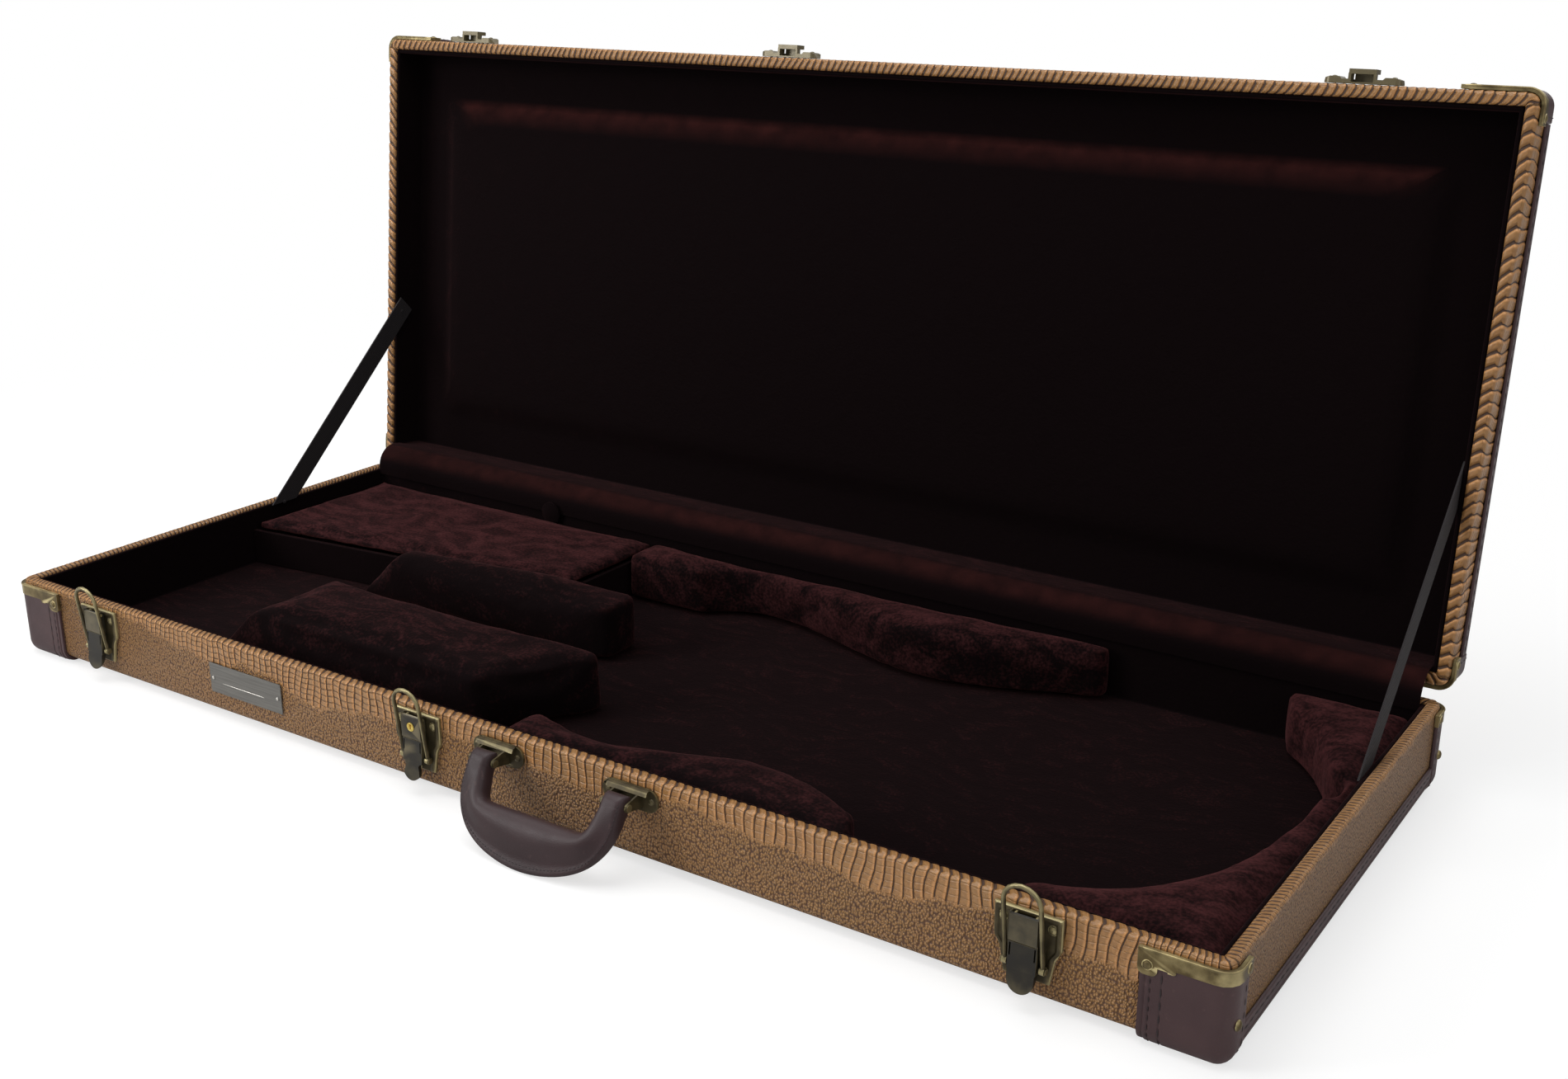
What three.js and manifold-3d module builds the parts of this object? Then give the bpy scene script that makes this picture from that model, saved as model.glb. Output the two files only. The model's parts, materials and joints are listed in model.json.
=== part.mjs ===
// A rectangular case for an electric guitar: two plywood shells covered in reptile grain vinyl,
// hinged along the back, with leather corners, draw latches and a plush lined, padded inside.
// Millimetres, +Z up. The origin is the centre of the underside, +X runs along the length
// and -Y is the side with the latches and the handle.
import * as THREE from 'three';
import { mergeVertices } from 'three/addons/utils/BufferGeometryUtils.js';
import Module from 'manifold-3d';

const wasm = await Module();
wasm.setup();

// Case
const caseLength = 1090;
const caseWidth = 423;
const baseDepth = 64;
const lidDepth = 42;
const boardThickness = 9.5;
const panelThickness = 5;
const panelRebate = 0.6;
const fieldGap = 3;
const rimGap = 0.8;
const cornerRadius = 9;
const panelEdgeRadius = 8.5;
const rimOuterRadius = 4;
const rimInnerRadius = 2.5;
const lidOpenAngle = 96.3;
const seatGap = 0.3;
const overrun = 2;

// Leather and brass trim
const leatherThickness = 2.3;
const footThickness = 3.5;
const cornerFrontArm = 53;
const cornerSideArm = 20;
const bindingThickness = 1.8;
const bindingRise = 18;
const bindingReturn = 14;
const brassProud = 3.4;
const brassDrop = 3.7;
const brassHeight = 9.2;
const brassLobeStart = 31;
const brassLobeHeight = 11.8;
const brassLobeRadius = 2;
const brassStepStart = 36;
const brassStepHeight = 10.8;
const brassTabStart = 42;
const brassFrontArm = 54;
const brassTabHeight = 16.6;
const brassTabRadius = 4;
const brassSideArm = 22;
const rivetRadius = 2.6;
const rivetHeight = 1.3;
const smallRivetRadius = 1.9;
const smallRivetHeight = 0.9;
const rivetSink = 0.2;

// Lining and padding
const liningThickness = 3.2;
const liningRimDrop = 2;
const floorPadThickness = 4;
const softGap = 0.5;
const plushRound = 6;
const padCornerRadius = 7;
const headWellLength = 150;
const boxBodyGap = 124.5;
const boxWallThickness = 5;
const boxLidThickness = 10;
const boxLidTop = 53;
const boxLidRound = 2.5;
const boxLidCorner = 5;
const boxLidSideGap = 3.4;
const pullTabRadius = 11;
const pullTabThickness = 2;
const pullTabRise = 5;
const pullTabShare = 0.65;
const neckBlockHeight = 60;
const neckBlockCrown = 3;
const neckChannelWidth = 62;
const neckChannelOffset = -13;
const neckBlockLean = 50;
const neckFrontBlockGap = 32;
const neckFrontBlockSlant = 65;
const neckFrontBlockStep = 53.5;
const neckRearBlockGap = 37;
const neckRearBlockWidth = 53;
const neckRearBlockHeadWidth = 10;
const neckBlockCorner = 16;
const neckBlockTightCorner = 8;
const bodyPadHeight = 56;
const cavityLength = 560;
const cavityEndPad = 17;
const cavitySidePad = 11.5;
const cavitySteps = 3;
const strapNotchWidth = 34;
const strapNotchMiddle = 57;
const strapNotchDepth = 9;
const lidPadInset = 45;
const lidPadBase = 2;
const lidPadRise = 9;
const lidPadShoulder = 26;
const lidPadCornerRadius = 30;

// Draw latches
const latchLeftInset = 108;
const latchCentre = -68;
const latchRightInset = 122;
const lockLatch = 1;
const latchPlateTop = 59.5;
const latchPlateBottom = 14.5;
const latchPlateWidth = 44;
const latchPlateWaist = 36;
const latchPlateFoot = 30;
const latchPlateShoulder = 39;
const latchPlateThickness = 2.1;
const latchPlateBevel = 0.6;
const latchRivetInset = 6;
const latchRivetDrop = 8;
const leverWidth = 18.7;
const leverSheet = 1;
const leverPivotOut = 6;
const leverEndRadius = 3;
const leverBoxOut = 8.8;
const leverBoxBottom = 40.8;
const leverSeam = 0.9;
const leverWallBottom = 22;
const leverTipRise = 8.4;
const leverTipOut = 11.6;
const leverBackOut = 3.2;
const leverSlotWidth = 0.7;
const leverSlotLength = 9;
const leverCornerRadius = 1.2;
const leverStep = 0.5;
const leverWallDip = 6;
const tongueWidth = 17.6;
const tongueWaistWidth = 12.5;
const pivotPinRadius = 1.2;
const pivotPinLength = 19.8;
const earThickness = 1.2;
const earRadius = 1.5;
const earSpacing = 13.6;
const runningGap = 0.3;
const crossPinOut = 5.4;
const crossPinHeight = 25;
const crossPinRadius = 1.3;
const crossPinHeadRadius = 2.1;
const crossPinHeadThickness = 0.8;
const bailWireRadius = 1.55;
const bailInnerWidth = 21.1;
const bailLength = 57.5;
const bailEyeRadius = 2.7;
const bailLean = 8;
const lockRadius = 3.5;
const lockLength = 4.6;
const lockHeight = 50;
const lockSlotWidth = 1.1;
const lockSlotDepth = 1.2;

// Catches on the lid
const catchWidth = 56;
const catchHeight = 13;
const catchRimInset = 2;
const catchEndProud = 5;
const catchSeatProud = 3.4;
const catchSeatWidth = 29.4;
const catchHookProud = 10.5;
const catchGroove = 3.9;
const catchHookWidth = 19.5;
const catchNeckGap = 0.55;
const catchMouthWall = 2;
const catchMouthDepth = 8.5;
const catchLipOverlap = 2;

// Handle and brackets
const handleCentre = 69.6;
const handleSpan = 118;
const handlePinOut = 17;
const handlePinHeight = 48.5;
const handleTilt = 34;
const handleDrop = 62;
const handleEyeRadius = 7.5;
const handleEyeWidth = 18;
const handleLegWidth = 21;
const handleLegThickness = 14;
const handleGripThickness = 18;
const handleGripDrop = 25;
const handlePinRadius = 1.8;
const handlePinHeadRadius = 2.8;
const handlePinHeadThickness = 1;
const bracketWidth = 47;
const bracketHeight = 17;
const bracketThickness = 1.6;
const bracketEarThickness = 1.4;
const bracketEarHeight = 12;
const bracketCowlOut = 6.5;
const bracketCowlDrop = 3.5;
const bracketCowlWidth = 34;
const bracketRivetInset = 5.5;

// Nameplate
const plateCentre = -258;
const plateLength = 83;
const plateHeight = 25;
const plateThickness = 0.9;
const plateRise = 31;
const platePinInset = 4;

// Hinges
const hingeEndInset = 165;
const hingeWidth = 44;
const hingeLeafHeight = 26;
const hingeLeafThickness = 1.5;
const hingeAxisOut = 6;
const hingeBarrelRadius = 4.2;
const hingePinRadius = 1.8;
const hingeKnuckles = 5;
const hingeKnuckleGap = 0.4;
const coverThickness = 1.2;
const coverTail = 7;
const coverBends = 10;

// Stay straps
const strapWidth = 20;
const strapThickness = 1.4;
const strapBaseSetback = 143;
const strapBaseRise = 61;
const strapLidReach = 160;
const strapLidDepth = 14;

const arcSteps = 2;
const roundSteps = 4;
const weldDistance = 0.001;
const barrelSides = 16;
const pinSides = 12;
const rivetSides = 10;
const bailSides = 8;
const bailSteps = 28;
const domeSteps = 3;

// Derived places
const halfLength = caseLength / 2;
const halfWidth = caseWidth / 2;
const innerHalfLength = halfLength - boardThickness;
const innerHalfWidth = halfWidth - boardThickness;
const linedHalfLength = innerHalfLength - seatGap - liningThickness;
const linedHalfWidth = innerHalfWidth - seatGap - liningThickness;
const floorTop = panelThickness + seatGap + floorPadThickness;
const softFloor = floorTop + seatGap;
const hingeY = halfWidth + hingeAxisOut;
const hingeZ = baseDepth + rimGap / 2;
const lidRim = baseDepth + rimGap;
const leverPivotHeight = latchPlateTop - seatGap / 2 - leverEndRadius;
const latchPlaces = [-halfLength + latchLeftInset, latchCentre, halfLength - latchRightInset];
const hingePlaces = [-halfLength + hingeEndInset, 0, halfLength - hingeEndInset];
const cavityWidth = 2 * (linedHalfWidth - cavitySidePad);
const cavityLeft = linedHalfLength - cavityEndPad - cavityLength;
const neckChannelFront = neckChannelOffset - neckChannelWidth / 2;
const neckChannelRear = neckChannelOffset + neckChannelWidth / 2;
const boxLeft = -linedHalfLength + softGap;
const boxRight = cavityLeft - boxBodyGap;
const boxBack = linedHalfWidth - softGap;
const boxHeadFront = neckChannelRear + neckRearBlockHeadWidth;
const boxBodyFront = neckChannelRear + neckRearBlockWidth;
const boxSlope = Math.atan2(boxBodyFront - boxHeadFront, boxRight - boxLeft);

const materials = {
  vinyl: { color: 0xb98a5c, roughness: 0.5, metalness: 0 },
  leather: { color: 0x4b3737, roughness: 0.5, metalness: 0 },
  brass: { color: 0x6e6441, roughness: 0.38, metalness: 0.9 },
  plush: { color: 0x2a1415, roughness: 0.95, metalness: 0 },
  webbing: { color: 0x3c2a2a, roughness: 0.85, metalness: 0 },
  plate: { color: 0x6d6a66, roughness: 0.45, metalness: 0.8 },
  steel: { color: 0x8d8c88, roughness: 0.35, metalness: 0.9 },
};

function addMesh(parent, name, geometry, look) {
  const mesh = new THREE.Mesh(geometry, new THREE.MeshStandardMaterial(materials[look]));
  mesh.name = name;
  parent.add(mesh);
  return mesh;
}

// Solids from geometry and back. Triangles that a weld closes up are dropped.
function toSolid(geometry) {
  const bare = geometry.index ? geometry.toNonIndexed() : geometry.clone();
  bare.deleteAttribute('normal');
  bare.deleteAttribute('uv');
  const welded = mergeVertices(bare);
  const indices = welded.index.array;
  const triangles = [];
  for (let first = 0; first < indices.length; first += 3) {
    const [a, b, c] = indices.slice(first, first + 3);
    if (a !== b && b !== c && c !== a) triangles.push(a, b, c);
  }
  return new wasm.Manifold(new wasm.Mesh({
    numProp: 3,
    vertProperties: Float32Array.from(welded.attributes.position.array),
    triVerts: Uint32Array.from(triangles),
  }));
}

function toGeometry(solid) {
  const mesh = solid.getMesh();
  const geometry = new THREE.BufferGeometry();
  geometry.setAttribute('position', new THREE.BufferAttribute(mesh.vertProperties, mesh.numProp));
  geometry.setIndex(new THREE.BufferAttribute(mesh.triVerts, 1));
  return geometry;
}

function union(solids) {
  return solids.reduce((whole, solid) => whole.add(solid));
}

function box(x0, x1, y0, y1, z0, z1) {
  const geometry = new THREE.BoxGeometry(x1 - x0, y1 - y0, z1 - z0);
  geometry.translate((x0 + x1) / 2, (y0 + y1) / 2, (z0 + z1) / 2);
  return toSolid(geometry);
}

// Extrusions along each axis. The section is drawn in the other two axes.
const axisX = new THREE.Vector3(1, 0, 0);
const axisY = new THREE.Vector3(0, 1, 0);
const axisZ = new THREE.Vector3(0, 0, 1);
const outward = new THREE.Vector3(0, -1, 0);

function extrude(shape, from, to, basis, options = {}) {
  const geometry = new THREE.ExtrudeGeometry(shape, {
    depth: to - from, bevelEnabled: false, curveSegments: arcSteps, ...options,
  });
  geometry.translate(0, 0, from);
  geometry.applyMatrix4(new THREE.Matrix4().makeBasis(...basis));
  return geometry;
}

function alongX(shape, from, to) {
  return toSolid(extrude(shape, from, to, [axisY, axisZ, axisX]));
}

function outFromWall(shape, from, to, options) {
  return toSolid(extrude(shape, from, to, [axisX, axisZ, outward], options));
}

function upward(shape, from, to) {
  return toSolid(extrude(shape, from, to, [axisX, axisY, axisZ]));
}

// A section in the plane of outward distance and height, run along the length
function wallSection(shape, from, to) {
  const turned = [outward, axisZ, axisX.clone().negate()];
  return toSolid(extrude(shape, -to, -from, turned));
}

// Outline with each corner rounded by its own radius
function roundedShape(points, radii) {
  const shape = new THREE.Shape();
  const count = points.length;
  points.forEach((point, index) => {
    const corner = new THREE.Vector2(...point);
    const before = new THREE.Vector2(...points[(index + count - 1) % count]);
    const after = new THREE.Vector2(...points[(index + 1) % count]);
    const arriving = corner.clone().sub(before).normalize();
    const leaving = after.sub(corner).normalize();
    const turn = Math.atan2(arriving.cross(leaving), arriving.dot(leaving));
    const radius = Array.isArray(radii) ? radii[index] : radii;
    const reach = radius * Math.tan(Math.abs(turn) / 2);
    const start = corner.clone().addScaledVector(arriving, -reach);
    if (index === 0) shape.moveTo(start.x, start.y);
    else shape.lineTo(start.x, start.y);
    if (radius > 0) {
      const side = Math.sign(turn);
      const centre = new THREE.Vector2(-arriving.y, arriving.x).multiplyScalar(side * radius).add(start);
      const from = Math.atan2(start.y - centre.y, start.x - centre.x);
      shape.absarc(centre.x, centre.y, radius, from, from + turn, turn < 0);
    }
  });
  shape.closePath();
  return shape;
}

// Points of an outline without doubles
function outlinePoints(shape) {
  const points = shape.getPoints(arcSteps);
  const last = points.length - 1;
  return points.filter((point, index) => point.distanceTo(points[index ? index - 1 : last]) > weldDistance);
}

// Rectangle with true arcs, radii given from the lower left corner anticlockwise
function roundedRectangle(x0, x1, y0, y1, radii) {
  const [r0, r1, r2, r3] = Array.isArray(radii) ? radii : [radii, radii, radii, radii];
  const quarter = Math.PI / 2;
  const shape = new THREE.Shape();
  shape.moveTo(x0 + r0, y0);
  shape.lineTo(x1 - r1, y0);
  if (r1 > 0) shape.absarc(x1 - r1, y0 + r1, r1, -quarter, 0, false);
  shape.lineTo(x1, y1 - r2);
  if (r2 > 0) shape.absarc(x1 - r2, y1 - r2, r2, 0, quarter, false);
  shape.lineTo(x0 + r3, y1);
  if (r3 > 0) shape.absarc(x0 + r3, y1 - r3, r3, quarter, 2 * quarter, false);
  shape.lineTo(x0, y0 + r0);
  if (r0 > 0) shape.absarc(x0 + r0, y0 + r0, r0, 2 * quarter, 3 * quarter, false);
  return shape;
}

function roundBar(radius, length, sides = pinSides) {
  const geometry = new THREE.CylinderGeometry(radius, radius, length, sides);
  geometry.rotateZ(Math.PI / 2);
  return geometry;
}

// Closed solid through loops of equal length, with flat ends
function loft(loops) {
  const positions = [];
  const size = loops[0].length;
  const place = (loop, index) => positions.push(...loops[loop][index % size].toArray());
  for (let loop = 0; loop < loops.length - 1; loop += 1) {
    for (let index = 0; index < size; index += 1) {
      place(loop, index);
      place(loop, index + 1);
      place(loop + 1, index + 1);
      place(loop, index);
      place(loop + 1, index + 1);
      place(loop + 1, index);
    }
  }
  for (const [loop, flip] of [[0, true], [loops.length - 1, false]]) {
    for (let index = 1; index < size - 1; index += 1) {
      place(loop, 0);
      place(loop, flip ? index + 1 : index);
      place(loop, flip ? index : index + 1);
    }
  }
  const geometry = new THREE.BufferGeometry();
  geometry.setAttribute('position', new THREE.Float32BufferAttribute(positions, 3));
  return geometry;
}

// The plain outside of one shell, in its own frame: rim at zero height, panel below
function shellBlock(depth, grow, panelGrow) {
  const x = halfLength + grow;
  const y = halfWidth + grow;
  const edge = panelEdgeRadius + grow;
  const low = -depth - panelGrow;
  const radii = [edge, edge, rimOuterRadius, rimOuterRadius];
  const plan = upward(roundedRectangle(-x, x, -y, y, cornerRadius + grow), low, 0);
  const side = alongX(roundedRectangle(-y, y, low, 0, radii), -x, x);
  const front = outFromWall(roundedRectangle(-x, x, low, 0, radii), -y, y);
  return plan.intersect(side).intersect(front);
}

// One long board with its inner rim edge eased
function boardStrip(inner, outer, low) {
  const sign = Math.sign(outer);
  const points = [[inner, low], [inner, 0], [outer, 0], [outer, low]];
  const radii = [0, rimInnerRadius, 0, 0];
  const shape = roundedShape(sign > 0 ? points.reverse() : points, sign > 0 ? radii.reverse() : radii);
  return shape;
}

// Four walls and the panel between them, whose outer field stands out of a rebated border
function shellBoards(parent, prefix, depth, longNames) {
  const block = shellBlock(depth, 0, 0);
  const low = -depth - overrun;
  longNames.forEach((name, index) => {
    const sign = index === 0 ? -1 : 1;
    const shape = boardStrip(sign * innerHalfWidth, sign * (halfWidth + overrun), low);
    const board = alongX(shape, -halfLength - overrun, halfLength + overrun).intersect(block);
    addMesh(parent, `${prefix}_${name}_wall`, toGeometry(board), 'vinyl');
  });
  const reach = innerHalfWidth - seatGap;
  for (const [name, sign] of [['left', -1], ['right', 1]]) {
    const shape = boardStrip(sign * innerHalfLength, sign * (halfLength + overrun), low);
    const board = outFromWall(shape, -reach, reach).intersect(block);
    addMesh(parent, `${prefix}_${name}_wall`, toGeometry(board), 'vinyl');
  }
  const x = innerHalfLength - seatGap;
  const board = box(-x, x, -reach, reach, -depth + panelRebate, -depth + panelThickness);
  const fieldX = halfLength - cornerFrontArm - fieldGap;
  const fieldY = halfWidth - cornerSideArm - fieldGap;
  const field = box(-fieldX, fieldX, -fieldY, fieldY, -depth, -depth + 2 * panelRebate);
  addMesh(parent, `${prefix}_panel`, toGeometry(board.add(field)), 'vinyl');
}

// Brass corner outline on the long face and on the short face, measured in from the corner
function brassRegion(sideX, sideY, grow) {
  const top = -brassDrop + grow;
  const edge = halfLength + 2 * brassProud;
  const front = [
    [edge, top],
    [halfLength - brassFrontArm - grow, top],
    [halfLength - brassFrontArm - grow, -brassDrop - brassTabHeight - grow],
    [halfLength - brassTabStart + grow, -brassDrop - brassTabHeight - grow],
    [halfLength - brassTabStart + grow, -brassDrop - brassStepHeight - grow],
    [halfLength - brassStepStart - grow, -brassDrop - brassStepHeight - grow],
    [halfLength - brassStepStart - grow, -brassDrop - brassLobeHeight - grow],
    [halfLength - brassLobeStart + grow, -brassDrop - brassLobeHeight - grow],
    [halfLength - brassLobeStart + grow, -brassDrop - brassHeight - grow],
    [edge, -brassDrop - brassHeight - grow],
  ];
  const tab = brassTabRadius;
  const radii = [0, 0, tab, tab, 0, 0, 0, brassLobeRadius, 0, 0];
  const near = halfWidth - boardThickness;
  const far = halfWidth + 2 * brassProud;
  const frontSolid = outFromWall(roundedShape(front, radii), near, far);
  const sideReach = halfWidth - brassSideArm - grow;
  const sideSolid = box(
    innerHalfLength, halfLength + 2 * brassProud, -far, -sideReach,
    -brassDrop - brassHeight - grow, top,
  );
  return mirrored(frontSolid.add(sideSolid), sideX, sideY);
}

// Copy of a front right piece for another corner
function mirrored(solid, sideX, sideY) {
  let copy = solid;
  if (sideX < 0) copy = copy.mirror([1, 0, 0]);
  if (sideY > 0) copy = copy.mirror([0, 1, 0]);
  return copy;
}

// Leather trim of one end: two corner caps joined by the binding along the panel's edge
function leatherEnd(depth, panelGrow, sideX) {
  const core = shellBlock(depth, seatGap, seatGap);
  const skin = shellBlock(depth, seatGap + leatherThickness, panelGrow).subtract(core);
  const cap = box(
    halfLength - cornerFrontArm, halfLength + 2 * leatherThickness,
    -halfWidth - 2 * leatherThickness, -halfWidth + cornerSideArm,
    -depth - 2 * footThickness, -brassDrop - brassHeight / 2,
  );
  const bindingGrow = seatGap + bindingThickness;
  const bindingSkin = shellBlock(depth, bindingGrow, bindingGrow).subtract(core);
  const reach = halfWidth - cornerSideArm + overrun;
  const binding = box(
    halfLength - bindingReturn, halfLength + 2 * bindingThickness, -reach, reach,
    -depth - 2 * bindingThickness, -depth + bindingRise,
  ).intersect(bindingSkin);
  const parts = [mirrored(binding, sideX, -1)];
  for (const sideY of [-1, 1]) {
    const corner = mirrored(cap, sideX, sideY).intersect(skin);
    parts.push(corner.subtract(brassRegion(sideX, sideY, seatGap)));
    parts.push(rivetAt(
      sideX * (halfLength + leatherThickness + seatGap),
      sideY * (halfWidth - cornerSideArm + 2 * smallRivetRadius), -depth + bindingRise,
      new THREE.Vector3(sideX, 0, 0), smallRivetRadius, smallRivetHeight,
    ));
  }
  return union(parts);
}

function brassCorner(depth, sideX, sideY) {
  const skin = shellBlock(depth, brassProud, seatGap).subtract(shellBlock(depth, seatGap, seatGap));
  const sheet = brassRegion(sideX, sideY, 0).intersect(skin);
  const tabRivet = rivetAt(
    sideX * (halfLength - (brassFrontArm + brassTabStart) / 2), sideY * (halfWidth + brassProud),
    -brassDrop - brassTabHeight + brassTabRadius + rivetRadius, new THREE.Vector3(0, sideY, 0),
  );
  const sideRivet = rivetAt(
    sideX * (halfLength + brassProud), sideY * (halfWidth - brassSideArm + 2 * rivetRadius),
    -brassDrop - brassHeight / 2, new THREE.Vector3(sideX, 0, 0),
  );
  return union([sheet, tabRivet, sideRivet]);
}

// Domed rivet standing on a face and sunk a little into it
function rivetAt(x, y, z, direction, radius = rivetRadius, height = rivetHeight) {
  const quarter = Math.PI / 2;
  const profile = [new THREE.Vector2(0, -rivetSink), new THREE.Vector2(radius, -rivetSink)];
  for (let step = 0; step < domeSteps; step += 1) {
    const angle = (quarter * step) / domeSteps;
    profile.push(new THREE.Vector2(radius * Math.cos(angle), height * Math.sin(angle)));
  }
  profile.push(new THREE.Vector2(0, height));
  const geometry = new THREE.LatheGeometry(profile, rivetSides);
  geometry.applyQuaternion(new THREE.Quaternion().setFromUnitVectors(axisY, direction));
  geometry.translate(x, y, z);
  return toSolid(geometry);
}

// Lining boards stand inside the walls as one frame
function wallLining(depth) {
  const x = innerHalfLength - seatGap;
  const y = innerHalfWidth - seatGap;
  const shape = roundedRectangle(-x, x, -y, y, 0);
  const inside = roundedRectangle(-linedHalfLength, linedHalfLength, -linedHalfWidth, linedHalfWidth, 0);
  shape.holes.push(inside);
  return upward(shape, -depth + panelThickness + seatGap, -liningRimDrop);
}

function shell(parent, prefix, depth, panelGrow, longNames) {
  shellBoards(parent, prefix, depth, longNames);
  for (const [side, sideX] of [['left', -1], ['right', 1]]) {
    const leather = leatherEnd(depth, panelGrow, sideX);
    addMesh(parent, `${prefix}_leather_end_${side}`, toGeometry(leather), 'leather');
    longNames.forEach((name, index) => {
      const brass = brassCorner(depth, sideX, index === 0 ? -1 : 1);
      addMesh(parent, `${prefix}_brass_corner_${name}_${side}`, toGeometry(brass), 'brass');
    });
  }
}

const crownShares = [0.35, 0.7];

// Soft block with rounded top edges and a slight crown, from a plan outline
function softBlock(points, radii, low, high, round, crown = 0) {
  const outline = outlinePoints(roundedShape(points, radii));
  const loops = [];
  const ring = (inset, height) => loops.push(insetLoop(outline, inset).map(
    (p) => new THREE.Vector3(p.x, p.y, height),
  ));
  ring(0, low);
  for (let step = 0; step <= roundSteps; step += 1) {
    const angle = (Math.PI / 2) * (step / roundSteps);
    ring(round * (1 - Math.cos(angle)), high - round + round * Math.sin(angle));
  }
  if (crown === 0) return capLoft(loops);
  const last = loops[loops.length - 1];
  const centre = last.reduce((sum, p) => sum.add(p), new THREE.Vector3()).divideScalar(last.length);
  for (const share of crownShares) {
    loops.push(last.map((p) => {
      const at = p.clone().lerp(centre, share);
      at.z = high + crown * Math.sin((Math.PI / 2) * share);
      return at;
    }));
  }
  centre.z = high + crown;
  return capLoft(loops, centre);
}

// Inward offset of a closed outline, anticlockwise
function insetLoop(outline, inset) {
  const count = outline.length;
  return outline.map((point, index) => {
    const before = outline[(index + count - 1) % count];
    const after = outline[(index + 1) % count];
    const first = point.clone().sub(before).normalize();
    const second = after.clone().sub(point).normalize();
    const normal = new THREE.Vector2(-first.y - second.y, first.x + second.x).normalize();
    const cosine = Math.max(normal.dot(new THREE.Vector2(-first.y, first.x)), Math.SQRT1_2);
    return point.clone().addScaledVector(normal, inset / cosine);
  });
}

// Loft whose flat ends are cut into triangles by their outline, so they may be hollow sided
function capLoft(loops, peak = null) {
  const positions = [];
  const size = loops[0].length;
  const place = (point) => positions.push(point.x, point.y, point.z);
  for (let loop = 0; loop < loops.length - 1; loop += 1) {
    for (let index = 0; index < size; index += 1) {
      const next = (index + 1) % size;
      const [a, b] = [loops[loop][index], loops[loop][next]];
      const [c, d] = [loops[loop + 1][next], loops[loop + 1][index]];
      [a, b, c, a, c, d].forEach(place);
    }
  }
  const top = loops[loops.length - 1];
  for (const [loop, flip] of peak ? [[loops[0], true]] : [[loops[0], true], [top, false]]) {
    const flat = loop.map((p) => new THREE.Vector2(p.x, p.y));
    for (const [a, b, c] of THREE.ShapeUtils.triangulateShape(flat, [])) {
      (flip ? [loop[a], loop[c], loop[b]] : [loop[a], loop[b], loop[c]]).forEach(place);
    }
  }
  if (peak) {
    top.forEach((point, index) => [point, top[(index + 1) % size], peak].forEach(place));
  }
  const geometry = new THREE.BufferGeometry();
  geometry.setAttribute('position', new THREE.Float32BufferAttribute(positions, 3));
  return geometry;
}

// Body hollow: a closed curve whose points are shares of its length and of half its width
const cavityShares = [
  [0.059, -0.214], [0.009, -0.401], [0.002, -0.615], [0.062, -0.775], [0.179, -0.856],
  [0.268, -0.791], [0.382, -0.679], [0.482, -0.711], [0.571, -0.845], [0.67, -0.963],
  [0.795, -0.898], [0.888, -0.749], [0.955, -0.481], [0.988, -0.107], [0.988, 0.267],
  [0.955, 0.588], [0.875, 0.882], [0.75, 0.985], [0.598, 0.952], [0.464, 0.802],
  [0.348, 0.722], [0.223, 0.802], [0.098, 0.925], [-0.009, 0.93], [-0.071, 0.802],
  [-0.045, 0.561], [0.036, 0.321], [0.059, 0.107],
];
const cavityCurve = new THREE.CatmullRomCurve3(cavityShares.map(
  ([along, across]) => new THREE.Vector3(
    cavityLeft + along * cavityLength, (across * cavityWidth) / 2, 0,
  ),
), true);

function cavityRun(first, last) {
  const points = [];
  for (let step = first * cavitySteps; step <= last * cavitySteps; step += 1) {
    const point = cavityCurve.getPoint(step / (cavityShares.length * cavitySteps));
    points.push([point.x, point.y]);
  }
  return points;
}

// Pad between the walls and one run of the hollow's edge
function padOutline(parent, name, wallPoints, run) {
  const points = [...wallPoints, ...run.slice().reverse()];
  const last = points.length - 1;
  const radii = points.map((point, index) => (
    index <= wallPoints.length || index === last ? padCornerRadius : 0
  ));
  const solid = softBlock(points, radii, softFloor, bodyPadHeight, plushRound);
  addMesh(parent, name, solid, 'plush');
}

// The right pad holds the body's end and leaves room for its strap button
function bodyPads(parent) {
  const wallX = linedHalfLength - softGap;
  const wallY = linedHalfWidth - softGap;
  const slope = 2 * plushRound;
  const front = cavityRun(3, 8);
  const rear = cavityRun(18, 24);
  const right = cavityRun(10, 16);
  const low = strapNotchMiddle - strapNotchWidth / 2;
  const high = strapNotchMiddle + strapNotchWidth / 2;
  const before = right.filter(([, y]) => y < low - plushRound);
  const after = right.filter(([, y]) => y > high + plushRound);
  const lip = before[before.length - 1][0];
  const deep = lip + strapNotchDepth;
  const notched = [...before, [lip, low], [deep, low], [deep, high], [lip, high], ...after];
  const farX = (run) => run[run.length - 1][0];
  padOutline(parent, 'body_pad_front', [[front[0][0], -wallY], [farX(front) + slope, -wallY]], front);
  padOutline(parent, 'body_pad_right', [
    [right[0][0] - slope, -wallY], [wallX, -wallY], [wallX, wallY], [farX(right) - slope, wallY],
  ], notched);
  const rearLeft = boxRight + softGap;
  padOutline(parent, 'body_pad_rear', [
    [rear[0][0] + slope, wallY], [rearLeft, wallY], [rearLeft, rear[rear.length - 1][1]],
  ], rear);
}

// Storage box behind the neck: its front runs at a slant, deeper at the head end
function boxFront(x) {
  return boxHeadFront + (x - boxLeft) * Math.tan(boxSlope);
}

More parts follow.
